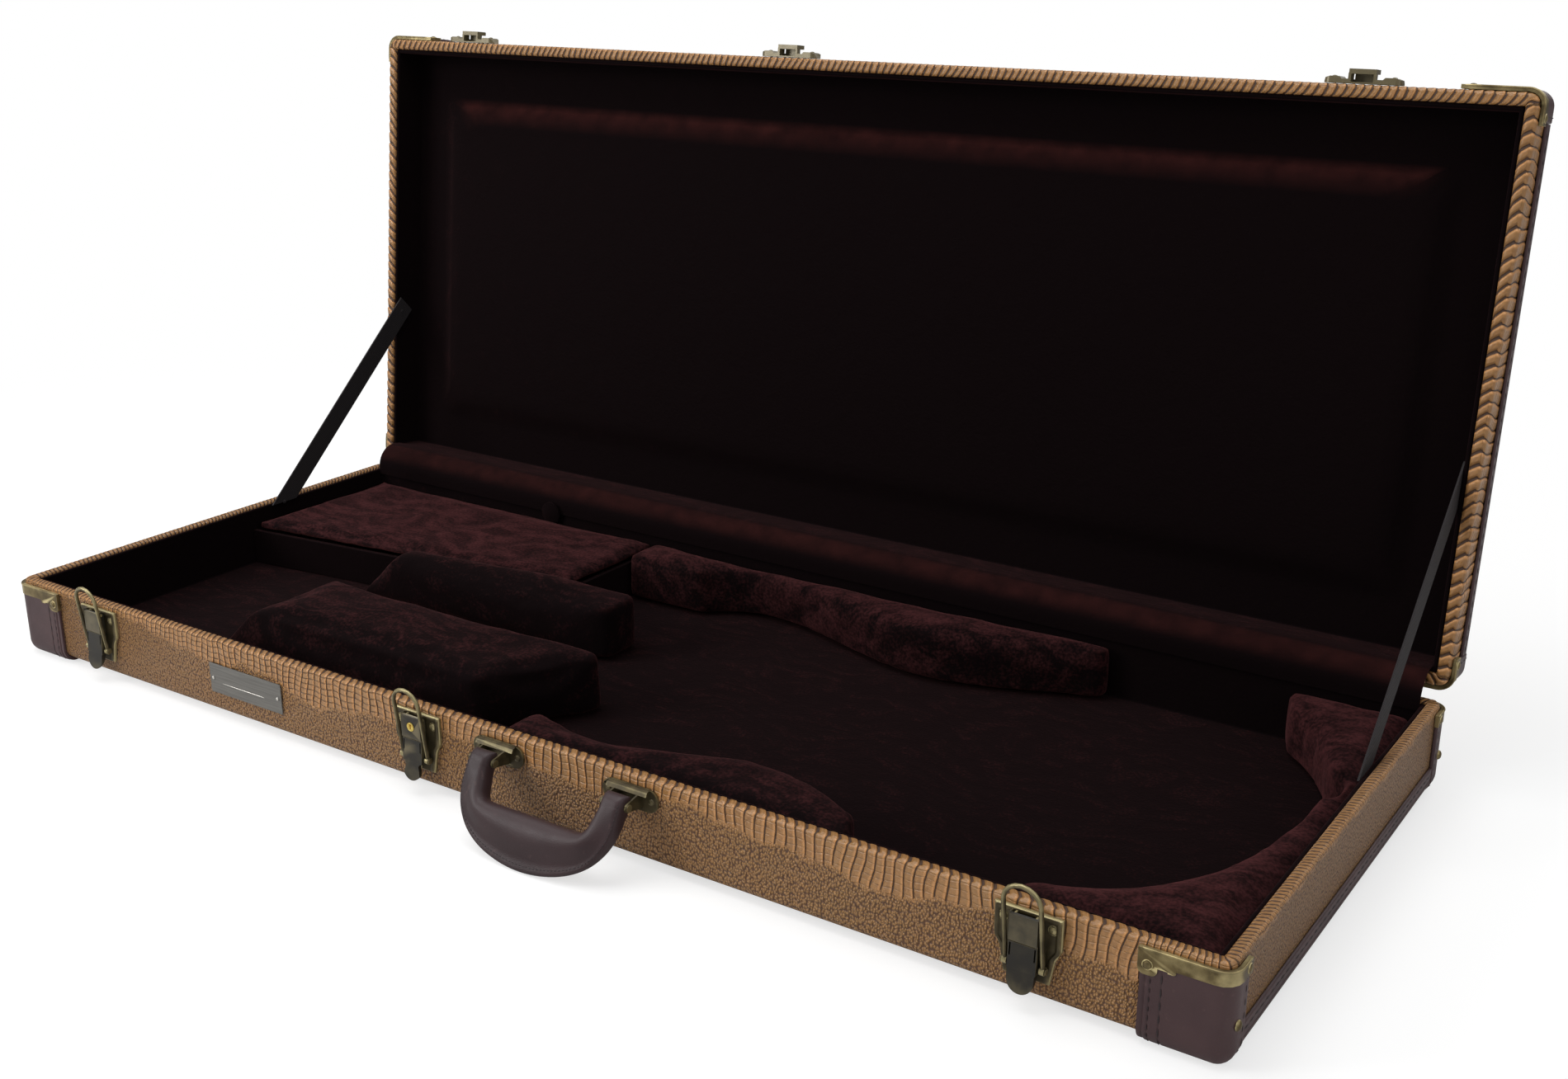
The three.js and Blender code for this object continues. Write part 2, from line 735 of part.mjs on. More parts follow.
function storageBox(parent) {
  const wallTop = boxLidTop - boxLidThickness - seatGap;
  const wall = boxWallThickness;
  const front = [
    [boxLeft, boxFront(boxLeft)], [boxRight, boxFront(boxRight)], [boxRight, boxBack],
    [boxRight - wall, boxBack], [boxRight - wall, boxFront(boxRight) + wall], [boxLeft, boxFront(boxLeft) + wall],
  ];
  const walls = upward(roundedShape(front, 0), softFloor, wallTop);
  addMesh(parent, 'accessory_box_walls', toGeometry(walls), 'plush');
  const lidLeft = boxLeft + boxLidSideGap;
  const lid = [
    [lidLeft, boxFront(lidLeft)], [boxRight, boxFront(boxRight)],
    [boxRight, boxBack - softGap], [lidLeft, boxBack - softGap],
  ];
  const lidSolid = softBlock(lid, boxLidCorner, boxLidTop - boxLidThickness, boxLidTop, boxLidRound);
  const tab = new THREE.CylinderGeometry(pullTabRadius, pullTabRadius, pullTabThickness, barrelSides);
  const tabX = THREE.MathUtils.lerp(lidLeft, boxRight, pullTabShare);
  tab.translate(tabX, boxBack - softGap - boxLidRound - pullTabThickness / 2, boxLidTop + pullTabRise);
  const withTab = union([toSolid(lidSolid), toSolid(tab)]);
  addMesh(parent, 'accessory_box_lid', toGeometry(withTab), 'plush');
}

// Two blocks hold the neck between them: both slope down to the head well
function neckBlocks(parent) {
  const low = -linedHalfWidth + neckFrontBlockStep;
  const left = -linedHalfLength + headWellLength;
  const frontRight = cavityLeft - neckFrontBlockGap;
  const front = [
    [left, low], [frontRight, low],
    [frontRight + neckFrontBlockSlant, neckChannelFront], [left, neckChannelFront],
  ];
  const rearRight = cavityLeft - neckRearBlockGap;
  const rear = [
    [left, neckChannelRear], [rearRight, neckChannelRear], [rearRight, boxBodyFront],
    [boxRight, boxBodyFront - softGap], [left, boxFront(left) - softGap],
  ];
  const round = neckBlockCorner;
  const tight = neckBlockTightCorner;
  const blocks = {
    neck_block_front: [front, [round, round, round, round]],
    neck_block_rear: [rear, [tight, round, round, tight, tight]],
  };
  for (const [name, [points, radii]] of Object.entries(blocks)) {
    const block = softBlock(points, radii, softFloor, neckBlockHeight, plushRound, neckBlockCrown);
    const cut = new THREE.Shape();
    cut.moveTo(left - overrun, softFloor - overrun);
    cut.lineTo(left, softFloor);
    cut.lineTo(left + neckBlockLean, neckBlockHeight);
    cut.lineTo(left + neckBlockLean, neckBlockHeight + 2 * neckBlockCrown);
    cut.lineTo(left - overrun, neckBlockHeight + 2 * neckBlockCrown);
    const ramp = outFromWall(cut, -innerHalfWidth, innerHalfWidth);
    addMesh(parent, name, toGeometry(toSolid(block).subtract(ramp)), 'plush');
  }
}

// Latch plate with its two ears and the pin that the lever turns on
function latchPlate() {
  const half = latchPlateWidth / 2;
  const waist = latchPlateWaist / 2;
  const foot = latchPlateFoot / 2;
  const curve = half - waist;
  const shape = new THREE.Shape();
  shape.moveTo(-foot, latchPlateBottom);
  shape.lineTo(foot, latchPlateBottom);
  shape.lineTo(waist, latchPlateShoulder - 2 * curve);
  shape.bezierCurveTo(
    waist, latchPlateShoulder - curve, half, latchPlateShoulder - curve, half, latchPlateShoulder,
  );
  shape.lineTo(half, latchPlateTop);
  shape.lineTo(-half, latchPlateTop);
  shape.lineTo(-half, latchPlateShoulder);
  shape.bezierCurveTo(
    -half, latchPlateShoulder - curve, -waist, latchPlateShoulder - curve,
    -waist, latchPlateShoulder - 2 * curve,
  );
  shape.closePath();
  const bevel = {
    bevelEnabled: true, bevelThickness: latchPlateBevel, bevelSize: latchPlateBevel,
    bevelOffset: -latchPlateBevel, bevelSegments: 1,
  };
  const plate = outFromWall(
    shape, seatGap + latchPlateBevel, seatGap + latchPlateThickness - latchPlateBevel, bevel,
  );
  const ear = new THREE.Shape();
  ear.moveTo(latchPlateThickness, leverPivotHeight - earRadius);
  ear.lineTo(leverPivotOut, leverPivotHeight - earRadius);
  ear.absarc(leverPivotOut, leverPivotHeight, earRadius, -Math.PI / 2, Math.PI / 2, false);
  ear.lineTo(latchPlateThickness, leverPivotHeight + earRadius);
  const ears = [-1, 1].map((side) => wallSection(
    ear, (side * earSpacing - earThickness) / 2, (side * earSpacing + earThickness) / 2,
  ));
  const pin = roundBar(pivotPinRadius, pivotPinLength);
  pin.translate(0, -leverPivotOut, leverPivotHeight);
  const across = half - latchRivetInset;
  const face = -seatGap - latchPlateThickness;
  const rivets = [
    [-across, latchPlateTop - latchRivetDrop], [across, latchPlateTop - latchRivetDrop],
    [0, latchPlateBottom + rivetRadius],
  ].map(([x, z]) => rivetAt(x, face, z, outward));
  return toGeometry(union([plate, ...ears, ...rivets, toSolid(pin)]));
}

// Side view of the lever: box above the seam, tongue below it, hollow behind
function leverProfile(out, height) {
  const tongueOut = leverBoxOut - leverStep;
  const seam = leverBoxBottom - leverSeam;
  const seamOut = tongueOut - leverSeam / 2;
  const profile = new THREE.Shape();
  profile.absarc(0, 0, leverEndRadius, Math.PI, Math.PI / 2, true);
  profile.lineTo(out(leverBoxOut) - leverCornerRadius, leverEndRadius);
  profile.lineTo(out(leverBoxOut), leverEndRadius - leverCornerRadius);
  profile.lineTo(out(leverBoxOut), height(leverBoxBottom));
  profile.lineTo(out(seamOut), height(leverBoxBottom));
  profile.lineTo(out(seamOut), height(seam));
  profile.lineTo(out(tongueOut), height(seam));
  profile.quadraticCurveTo(
    out(leverBoxOut), height(leverWallBottom), out(leverTipOut), height(leverTipRise),
  );
  profile.lineTo(out(leverTipOut - leverSheet), height(leverTipRise));
  profile.quadraticCurveTo(
    out(tongueOut - leverSheet), height((leverWallBottom + leverTipRise) / 2),
    out(crossPinOut), height(leverWallBottom),
  );
  profile.lineTo(out(leverBackOut), height(leverWallBottom + leverSheet));
  return profile;
}

// Front view of the lever: straight box, narrower tongue with a round tip, waisted by the lock
function leverOutline(height, locking) {
  const edge = leverWidth / 2 + overrun;
  const tongue = tongueWidth / 2;
  const tipCentre = height(leverTipRise) + tongue;
  const shoulder = height(leverWallBottom);
  const waist = tongueWaistWidth / 2;
  const front = new THREE.Shape();
  front.moveTo(edge, leverEndRadius + overrun);
  front.lineTo(-edge, leverEndRadius + overrun);
  front.lineTo(-edge, shoulder);
  front.lineTo(-tongue, shoulder);
  if (locking) {
    front.quadraticCurveTo(-waist, shoulder, -waist, (shoulder + tipCentre) / 2);
    front.lineTo(-tongue + overrun / 2, tipCentre - tongue / 2);
    front.quadraticCurveTo(-tongue / 2, height(leverTipRise), 0, height(leverTipRise));
    front.quadraticCurveTo(tongue / 2, height(leverTipRise), tongue - overrun / 2, tipCentre - tongue / 2);
    front.lineTo(waist, (shoulder + tipCentre) / 2);
    front.quadraticCurveTo(waist, shoulder, tongue, shoulder);
  } else {
    front.absarc(0, tipCentre, tongue, Math.PI, 2 * Math.PI, false);
    front.lineTo(tongue, shoulder);
  }
  front.lineTo(edge, shoulder);
  return front;
}

// Lever in its own frame: the pivot is the origin
function latchLever(locking) {
  const height = (z) => z - leverPivotHeight;
  const out = (u) => u - leverPivotOut;
  const half = leverWidth / 2;
  const back = -leverEndRadius - overrun;
  const seam = leverBoxBottom - leverSeam;
  let lever = wallSection(leverProfile(out, height), -half, half).intersect(
    outFromWall(leverOutline(height, locking), -2 * leverBoxOut, 2 * leverBoxOut, { curveSegments: 2 * roundSteps }),
  );
  const channel = half - leverSheet;
  const hollow = new THREE.Shape();
  const lowerOut = out(leverBoxOut - leverStep - leverSheet);
  const dip = height(leverWallBottom - leverWallDip);
  hollow.moveTo(back, leverEndRadius + overrun);
  hollow.lineTo(back, dip);
  hollow.lineTo(lowerOut, dip);
  hollow.lineTo(lowerOut, height(seam - leverSheet));
  hollow.lineTo(out(leverBoxOut - leverSheet), height(leverBoxBottom + leverSheet));
  hollow.lineTo(out(leverBoxOut - leverSheet), leverEndRadius + overrun);
  lever = lever.subtract(wallSection(hollow, -channel, channel));
  for (const side of [-1, 1]) {
    const x0 = side * (channel - leverSlotWidth);
    const x1 = side * (channel + leverSlotWidth / 3);
    lever = lever.subtract(box(
      Math.min(x0, x1), Math.max(x0, x1), -out(leverBoxOut) - overrun, -out(crossPinOut),
      height(seam - leverSlotLength), height(seam - leverSeam),
    ));
  }
  const pivotHole = roundBar(pivotPinRadius + runningGap, leverWidth + overrun);
  const crossHole = roundBar(crossPinRadius + runningGap, leverWidth + overrun);
  crossHole.translate(0, -out(crossPinOut), height(crossPinHeight));
  lever = lever.subtract(toSolid(pivotHole)).subtract(toSolid(crossHole));
  if (locking) {
    const hole = new THREE.CylinderGeometry(
      lockRadius + runningGap, lockRadius + runningGap, 2 * leverBoxOut, barrelSides,
    );
    hole.translate(0, -leverBoxOut, height(lockHeight));
    lever = lever.subtract(toSolid(hole));
  }
  return toGeometry(lever);
}

function lockCylinder() {
  const body = new THREE.CylinderGeometry(lockRadius, lockRadius, lockLength, barrelSides);
  const slot = box(
    -lockSlotWidth / 2, lockSlotWidth / 2, -lockLength / 2 - overrun, -lockLength / 2 + lockSlotDepth,
    -lockRadius / 2, lockRadius / 2,
  );
  const hole = new THREE.CylinderGeometry(lockSlotWidth, lockSlotWidth, 2 * lockSlotDepth, rivetSides);
  hole.translate(0, -lockLength / 2, lockRadius / 3);
  return toGeometry(toSolid(body).subtract(slot).subtract(toSolid(hole)));
}

function crossPin() {
  const inner = bailInnerWidth / 2 + 2 * bailWireRadius + runningGap;
  const end = inner + crossPinHeadThickness;
  const profile = [
    [0, -end], [crossPinHeadRadius, -end], [crossPinHeadRadius, -inner], [crossPinRadius, -inner],
    [crossPinRadius, inner], [crossPinHeadRadius, inner], [crossPinHeadRadius, end], [0, end],
  ];
  const geometry = new THREE.LatheGeometry(profile.map((p) => new THREE.Vector2(...p)), pinSides);
  geometry.rotateZ(-Math.PI / 2);
  return geometry;
}

// Wire bail with an eye at each end, the eyes centred on the origin
function bail() {
  const side = bailInnerWidth / 2 + bailWireRadius;
  const arcCentre = bailLength - bailWireRadius - side;
  const legStart = (bailEyeRadius + crossPinRadius + runningGap) / 2;
  const path = new THREE.CurvePath();
  const point = (x, z) => new THREE.Vector3(x, 0, z);
  path.add(new THREE.LineCurve3(point(-side, legStart), point(-side, arcCentre)));
  const quarters = [[-1, 0], [0, 1]];
  const kappa = 0.5523 * side;
  path.add(new THREE.CubicBezierCurve3(
    point(-side, arcCentre), point(-side, arcCentre + kappa),
    point(-kappa, arcCentre + side), point(quarters[1][0], arcCentre + side),
  ));
  path.add(new THREE.CubicBezierCurve3(
    point(quarters[1][0], arcCentre + side), point(kappa, arcCentre + side),
    point(side, arcCentre + kappa), point(side, arcCentre),
  ));
  path.add(new THREE.LineCurve3(point(side, arcCentre), point(side, legStart)));
  const section = new THREE.Shape();
  section.absarc(0, 0, bailWireRadius, 0, 2 * Math.PI, false);
  const wire = new THREE.ExtrudeGeometry(section, {
    steps: bailSteps, curveSegments: bailSides / 2, extrudePath: path, bevelEnabled: false,
  });
  const parts = [toSolid(wire)];
  for (const sign of [-1, 1]) {
    const eye = roundBar(bailEyeRadius, 2 * bailWireRadius);
    eye.translate(sign * side, 0, 0);
    parts.push(toSolid(eye));
  }
  const bore = toSolid(roundBar(crossPinRadius + runningGap, 2 * bailInnerWidth));
  return toGeometry(union(parts).subtract(bore));
}

// Catch on the lid: domed plate with a hollow hook that the bail drops behind
function lidCatch() {
  const half = catchWidth / 2;
  const seat = catchSeatWidth / 2;
  const slope = catchEndProud - catchSeatProud;
  const plan = new THREE.Shape();
  plan.moveTo(-half, seatGap);
  plan.lineTo(half, seatGap);
  plan.quadraticCurveTo(half, catchEndProud, half - catchEndProud, catchEndProud);
  plan.lineTo(seat + slope, catchEndProud);
  plan.lineTo(seat, catchSeatProud);
  plan.lineTo(-seat, catchSeatProud);
  plan.lineTo(-seat - slope, catchEndProud);
  plan.lineTo(-half + catchEndProud, catchEndProud);
  plan.quadraticCurveTo(-half, catchEndProud, -half, seatGap);
  const low = lidRim + catchRimInset;
  const high = low + catchHeight;
  const plate = toSolid(extrude(plan, -high, -low, [axisX, outward, axisZ.clone().negate()]));
  const face = roundedRectangle(-half, half, low, high, catchEndProud);
  const rounded = plate.intersect(outFromWall(face, 0, catchHookProud));

  const arcCentre = crossPinHeight + bailLength - bailWireRadius - (bailInnerWidth / 2 + bailWireRadius);
  const neckRadius = bailInnerWidth / 2 - catchNeckGap;
  const neck = new THREE.Shape();
  neck.moveTo(-neckRadius, low);
  neck.lineTo(neckRadius, low);
  neck.lineTo(neckRadius, arcCentre);
  neck.absarc(0, arcCentre, neckRadius, 0, Math.PI, false);
  neck.lineTo(-neckRadius, low);
  const grooveTop = catchSeatProud + catchGroove;
  const post = outFromWall(neck, catchSeatProud - seatGap, grooveTop + seatGap, { curveSegments: 2 * arcSteps });
  const hook = catchHookWidth / 2;
  const lipTop = arcCentre + bailInnerWidth / 2 + catchLipOverlap;
  const lipShape = roundedRectangle(-hook, hook, low, lipTop, [0, 0, hook / 2, hook / 2]);
  const lip = outFromWall(lipShape, grooveTop, catchHookProud);
  const roundOver = new THREE.Shape();
  const round = catchHookProud - grooveTop;
  roundOver.moveTo(0, low - overrun);
  roundOver.lineTo(catchHookProud, low - overrun);
  roundOver.lineTo(catchHookProud, lipTop - round);
  roundOver.quadraticCurveTo(catchHookProud, lipTop, catchHookProud - round, lipTop);
  roundOver.lineTo(0, lipTop);
  const eased = lip.intersect(wallSection(roundOver, -half, half));
  const mouthHalf = neckRadius - catchMouthWall;
  const mouth = box(
    -mouthHalf, mouthHalf, -grooveTop + seatGap, -seatGap - leverSheet, low - overrun, low + catchMouthDepth,
  );
  const rivets = [-1, 1].map((side) => rivetAt(
    (side * (catchSeatWidth + catchWidth)) / 4, -catchEndProud, (low + high) / 2, outward,
    smallRivetRadius, smallRivetHeight,
  ));
  return toGeometry(union([rounded, post, eased, ...rivets]).subtract(mouth));
}

// Handle bracket: plate, two ears, a brow over the handle end
function handleBracket() {
  const half = bracketWidth / 2;
  const low = handlePinHeight - bracketHeight / 2;
  const high = handlePinHeight + bracketHeight / 2;
  const face = seatGap + bracketThickness;
  const plateShape = roundedRectangle(-half, half, low, high, bracketHeight / 2 - seatGap);
  const plate = outFromWall(plateShape, seatGap, face);
  const ear = new THREE.Shape();
  const eye = handlePinRadius + bracketEarThickness;
  ear.moveTo(face - seatGap, handlePinHeight - bracketEarHeight / 2);
  ear.lineTo(handlePinOut, handlePinHeight - eye);
  ear.absarc(handlePinOut, handlePinHeight, eye, -Math.PI / 2, Math.PI / 2, false);
  ear.lineTo(face - seatGap, handlePinHeight + bracketEarHeight / 2);
  const inner = handleEyeWidth / 2 + runningGap;
  const ears = [-inner - bracketEarThickness, inner].map(
    (x) => wallSection(ear, x, x + bracketEarThickness),
  );
  const brow = new THREE.Shape();
  brow.moveTo(seatGap, high);
  brow.quadraticCurveTo(bracketCowlOut, high, bracketCowlOut, high - bracketCowlDrop);
  brow.lineTo(bracketCowlOut - bracketThickness, high - bracketCowlDrop);
  brow.quadraticCurveTo(
    bracketCowlOut - bracketThickness, high - bracketThickness, seatGap, high - bracketThickness,
  );
  const browPlan = roundedRectangle(
    -bracketCowlWidth / 2, bracketCowlWidth / 2, high - 2 * bracketCowlDrop, high + overrun,
    [0, 0, bracketCowlDrop, bracketCowlDrop],
  );
  const cowl = wallSection(brow, -half, half).intersect(outFromWall(browPlan, 0, handlePinOut));
  const rivets = [-1, 1].map((side) => rivetAt(
    side * (half - bracketRivetInset), -face, handlePinHeight, outward,
  ));
  const pin = handlePin();
  pin.translate(0, -handlePinOut, handlePinHeight);
  return toGeometry(union([plate, ...ears, cowl, ...rivets, toSolid(pin)]));
}

// Headed pin across the ears of a bracket
function handlePin() {
  const inner = handleEyeWidth / 2 + runningGap + bracketEarThickness;
  const end = inner + handlePinHeadThickness;
  const head = handlePinHeadRadius;
  const profile = [
    [0, -end], [head, -end], [head, -inner], [handlePinRadius, -inner],
    [handlePinRadius, inner], [head, inner], [head, end], [0, end],
  ];
  const geometry = new THREE.LatheGeometry(profile.map((p) => new THREE.Vector2(...p)), pinSides);
  geometry.rotateZ(-Math.PI / 2);
  return geometry;
}

// Leather handle hanging down from the pin line, which is the origin
function handleBody() {
  const half = handleSpan / 2;
  const outerSide = half + handleLegWidth / 2;
  const innerSide = half - handleLegWidth / 2;
  const outerShares = [[1, 0.11], [0.975, 0.32], [0.9, 0.56], [0.745, 0.765], [0.5, 0.915], [0.17, 1]];
  const innerShares = [[1, 0.2], [0.985, 0.56], [0.94, 0.85], [0.84, 0.98], [0.55, 1], [0.18, 1]];
  const sectionShares = [
    [0, 0], [0.06, 0.62], [0.2, 0.95], [0.38, 0.96], [0.6, 0.66], [0.78, 0.33], [0.97, 0.27], [1, 0],
  ];
  const stations = [];
  const eyeShare = handleEyeWidth / handleLegWidth;
  outerShares.forEach(([across, down], index) => {
    const [innerAcross, innerDown] = innerShares[index];
    stations.push([across * outerSide, down * handleDrop, innerAcross * innerSide, innerDown * handleGripDrop]);
  });
  const start = stations[0];
  start[0] = half + (outerSide - half) * eyeShare;
  start[2] = half - (half - innerSide) * eyeShare;
  start[3] = start[1];
  const mirror = stations.slice().reverse().map(([x, d, ix, id]) => [-x, d, -ix, id]);
  const all = [...stations, ...mirror];
  const loops = all.map(([x, d, ix, id], index) => {
    const fromEnd = Math.min(index, all.length - 1 - index);
    const blend = Math.min(fromEnd / 3, 1);
    const thickness = THREE.MathUtils.lerp(handleLegThickness, handleGripThickness, blend);
    const loop = [];
    const place = (share, rise) => {
      const flange = THREE.MathUtils.lerp(1, rise, blend);
      const height = Math.max(Math.min(rise, 1) * (thickness / 2), 0);
      const legHeight = (thickness / 2) * Math.sqrt(Math.max(1 - (2 * share - 1) ** 4, 0));
      const half2 = THREE.MathUtils.lerp(legHeight, height, blend) * Math.sign(flange || 1);
      return [share, half2];
    };
    const upper = sectionShares.map(([share, rise]) => place(share, rise));
    for (const [share, rise] of upper) {
      loop.push(new THREE.Vector3(ix + (x - ix) * share, rise, -(id + (d - id) * share)));
    }
    for (const [share, rise] of upper.slice(1, -1).reverse()) {
      loop.push(new THREE.Vector3(ix + (x - ix) * share, -rise, -(id + (d - id) * share)));
    }
    return loop;
  });
  const grip = toSolid(loft(loops));
  const eyes = [-1, 1].map((side) => {
    const eye = roundBar(handleEyeRadius, handleEyeWidth, barrelSides);
    eye.translate(side * half, 0, 0);
    return toSolid(eye);
  });
  const bore = toSolid(roundBar(handlePinRadius + runningGap, 2 * outerSide + overrun));
  return toGeometry(union([grip, ...eyes]).subtract(bore));
}

// Hinge leaf: the sheet on the wall, bent out to its share of the barrel
function hingeLeaf(rising, even) {
  const pitch = hingeWidth / hingeKnuckles;
  const barrelLow = hingeBarrelRadius - hingeLeafThickness;
  const sheet = roundedRectangle(
    -hingeWidth / 2, hingeWidth / 2, hingeLeafThickness / 2, hingeLeafHeight, hingeLeafThickness,
  );
  const wallFace = -hingeAxisOut + seatGap;
  const leaf = toSolid(extrude(sheet, wallFace, wallFace + hingeLeafThickness, [axisX.clone().negate(), axisZ, axisY]));
  const parts = [leaf.intersect(box(
    -hingeWidth, hingeWidth, -hingeWidth, hingeWidth, barrelLow, hingeLeafHeight + overrun,
  ))];
  for (let knuckle = 0; knuckle < hingeKnuckles; knuckle += 1) {
    if ((knuckle % 2 === 0) === even) {
      const x0 = -hingeWidth / 2 + knuckle * pitch + hingeKnuckleGap / 2;
      const x1 = x0 + pitch - hingeKnuckleGap;
      const barrel = roundBar(hingeBarrelRadius, x1 - x0, barrelSides);
      barrel.translate((x0 + x1) / 2, 0, 0);
      parts.push(toSolid(barrel));
      parts.push(box(x0, x1, wallFace, 0, barrelLow, hingeBarrelRadius));
    }
  }
  if (rising) {
    const bore = toSolid(roundBar(hingePinRadius + runningGap, hingeWidth + overrun));
    return toGeometry(union(parts).subtract(bore));
  }
  const pin = toSolid(roundBar(hingePinRadius, hingeWidth));
  return toGeometry(union([...parts, pin]).mirror([0, 0, 1]));
}

// Raised plush panel in the lid, drawn with its back at zero height
function lidPad() {
  const x = linedHalfLength;
  const y = linedHalfWidth;
  const loops = [];
  const ring = (inset, radius, height) => {
    const shape = roundedRectangle(-x + inset, x - inset, -y + inset, y - inset, radius);
    loops.push(outlinePoints(shape).map((p) => new THREE.Vector3(p.x, p.y, height)));
  };
  const glued = -liningThickness / 2;
  ring(glued, lidPadBase, 0);
  ring(glued, lidPadBase, lidPadBase);
  const start = lidPadInset - lidPadShoulder / 2;
  const shoulderShares = [[0, 0], [0.3, 0.12], [0.6, 0.55], [0.85, 0.88], [1.3, 1], [2.6, 1.1]];
  for (const [across, up] of shoulderShares) {
    ring(start + across * lidPadShoulder, lidPadCornerRadius * (0.4 + up / 2), lidPadBase + up * lidPadRise);
  }
  return capLoft(loops);
}

// Flat strap between two points near an end wall, its ends cut level
function stayStrap(side) {
  const start = new THREE.Vector2(halfWidth - strapBaseSetback, strapBaseRise);
  const open = THREE.MathUtils.degToRad(lidOpenAngle);
  const along = strapLidReach + hingeAxisOut;
  const deep = strapLidDepth + rimGap / 2;
  const end = new THREE.Vector2(
    hingeY - along * Math.cos(open) + deep * Math.sin(open),
    hingeZ + along * Math.sin(open) + deep * Math.cos(open),
  );
  const way = end.clone().sub(start).normalize();
  const across = new THREE.Vector2(-way.y, way.x).multiplyScalar(strapWidth / 2);
  const cut = way.clone().multiplyScalar((across.y / way.y));
  const points = [
    start.clone().sub(across).add(cut), start.clone().add(across).sub(cut),
    end.clone().add(across), end.clone().sub(across),
  ];
  const shape = new THREE.Shape(points);
  const near = linedHalfLength - seatGap - strapThickness;
  const far = linedHalfLength - seatGap;
  const strap = alongX(shape, side > 0 ? near : -far, side > 0 ? far : -near);
  const inward = new THREE.Vector3(-side, 0, 0);
  const rivets = [start, end.clone().addScaledVector(way, -strapWidth / 2)].map(
    (p) => rivetAt(side * near, p.x, p.y, inward, smallRivetRadius, smallRivetHeight),
  );
  return union([strap, ...rivets]);
}

// Plush flap over the hinges, glued to both linings and bent round the hinge line
function hingeCover() {
  const open = THREE.MathUtils.degToRad(lidOpenAngle);
  const origin = new THREE.Vector2();
  const face = (reach) => {
    const points = [new THREE.Vector2(-reach, -coverTail)];
    for (let bend = 0; bend <= coverBends; bend += 1) {
      points.push(new THREE.Vector2(-reach, 0).rotateAround(origin, -open * bend / coverBends));
    }
    points.push(new THREE.Vector2(-reach, coverTail).rotateAround(origin, -open));
    return points.map((p) => p.add(new THREE.Vector2(hingeY, hingeZ)));
  };
  const near = hingeY - linedHalfWidth + seatGap;
  const shape = new THREE.Shape([...face(near + coverThickness), ...face(near).reverse()]);
  const reach = linedHalfLength - seatGap;
  return alongX(shape, -reach, reach);
}

const object = new THREE.Group();

const base = new THREE.Group();
base.position.z = baseDepth;
object.add(base);
shell(base, 'base', baseDepth, footThickness, ['front', 'back']);

const fittings = new THREE.Group();
object.add(fittings);
const floorPad = box(
  -linedHalfLength - overrun / 2, linedHalfLength + overrun / 2, -linedHalfWidth - overrun / 2,
  linedHalfWidth + overrun / 2, panelThickness + seatGap, floorTop,
);
const baseWalls = wallLining(baseDepth).translate(0, 0, baseDepth);
addMesh(fittings, 'base_lining', toGeometry(baseWalls.add(floorPad)), 'plush');
storageBox(fittings);
neckBlocks(fittings);
bodyPads(fittings);

// Front hardware is drawn outward from the front wall, which lies at zero
const front = new THREE.Group();
front.position.y = -halfWidth;
object.add(front);

const latchNames = ['left', 'centre', 'right'];
latchPlaces.forEach((x, index) => {
  const latch = new THREE.Group();
  latch.position.x = x;
  front.add(latch);
  const name = latchNames[index];
  addMesh(latch, `latch_plate_${name}`, latchPlate(), 'brass');
  const lever = addMesh(latch, `latch_lever_${name}`, latchLever(index === lockLatch), 'brass');
  lever.position.set(0, -leverPivotOut, leverPivotHeight);
  const pin = addMesh(latch, `latch_cross_pin_${name}`, crossPin(), 'brass');
  pin.position.set(0, -crossPinOut, crossPinHeight);
  const wire = addMesh(latch, `latch_bail_${name}`, bail(), 'brass');
  wire.position.copy(pin.position);
  wire.rotation.x = THREE.MathUtils.degToRad(bailLean);
  if (index === lockLatch) {
    const lock = addMesh(latch, 'lock_cylinder', lockCylinder(), 'brass');
    lock.position.set(0, -leverBoxOut + lockLength / 2 - seatGap, lockHeight);
  }
});

const handleGroup = new THREE.Group();
handleGroup.position.x = handleCentre;
front.add(handleGroup);
for (const [side, x] of [['left', -handleSpan / 2], ['right', handleSpan / 2]]) {
  addMesh(handleGroup, `handle_bracket_${side}`, handleBracket(), 'brass').position.x = x;
}
const handle = addMesh(handleGroup, 'handle', handleBody(), 'leather');
handle.position.set(0, -handlePinOut, handlePinHeight);
handle.rotation.x = -THREE.MathUtils.degToRad(handleTilt);

const plateShape = roundedRectangle(
  -plateLength / 2, plateLength / 2, -plateHeight / 2, plateHeight / 2, plateThickness,
);
const platePins = [-1, 1].map((side) => rivetAt(
  side * (plateLength / 2 - platePinInset), -seatGap - plateThickness, 0, outward,
  smallRivetRadius, smallRivetHeight,
));
const nameplate = union([outFromWall(plateShape, seatGap, seatGap + plateThickness), ...platePins]);
addMesh(front, 'nameplate', toGeometry(nameplate), 'plate').position.set(plateCentre, 0, plateRise);

for (const [name, side] of [['left', -1], ['right', 1]]) {
  addMesh(object, `stay_strap_${name}`, toGeometry(stayStrap(side)), 'webbing');
}

addMesh(object, 'hinge_cover', toGeometry(hingeCover()), 'plush');

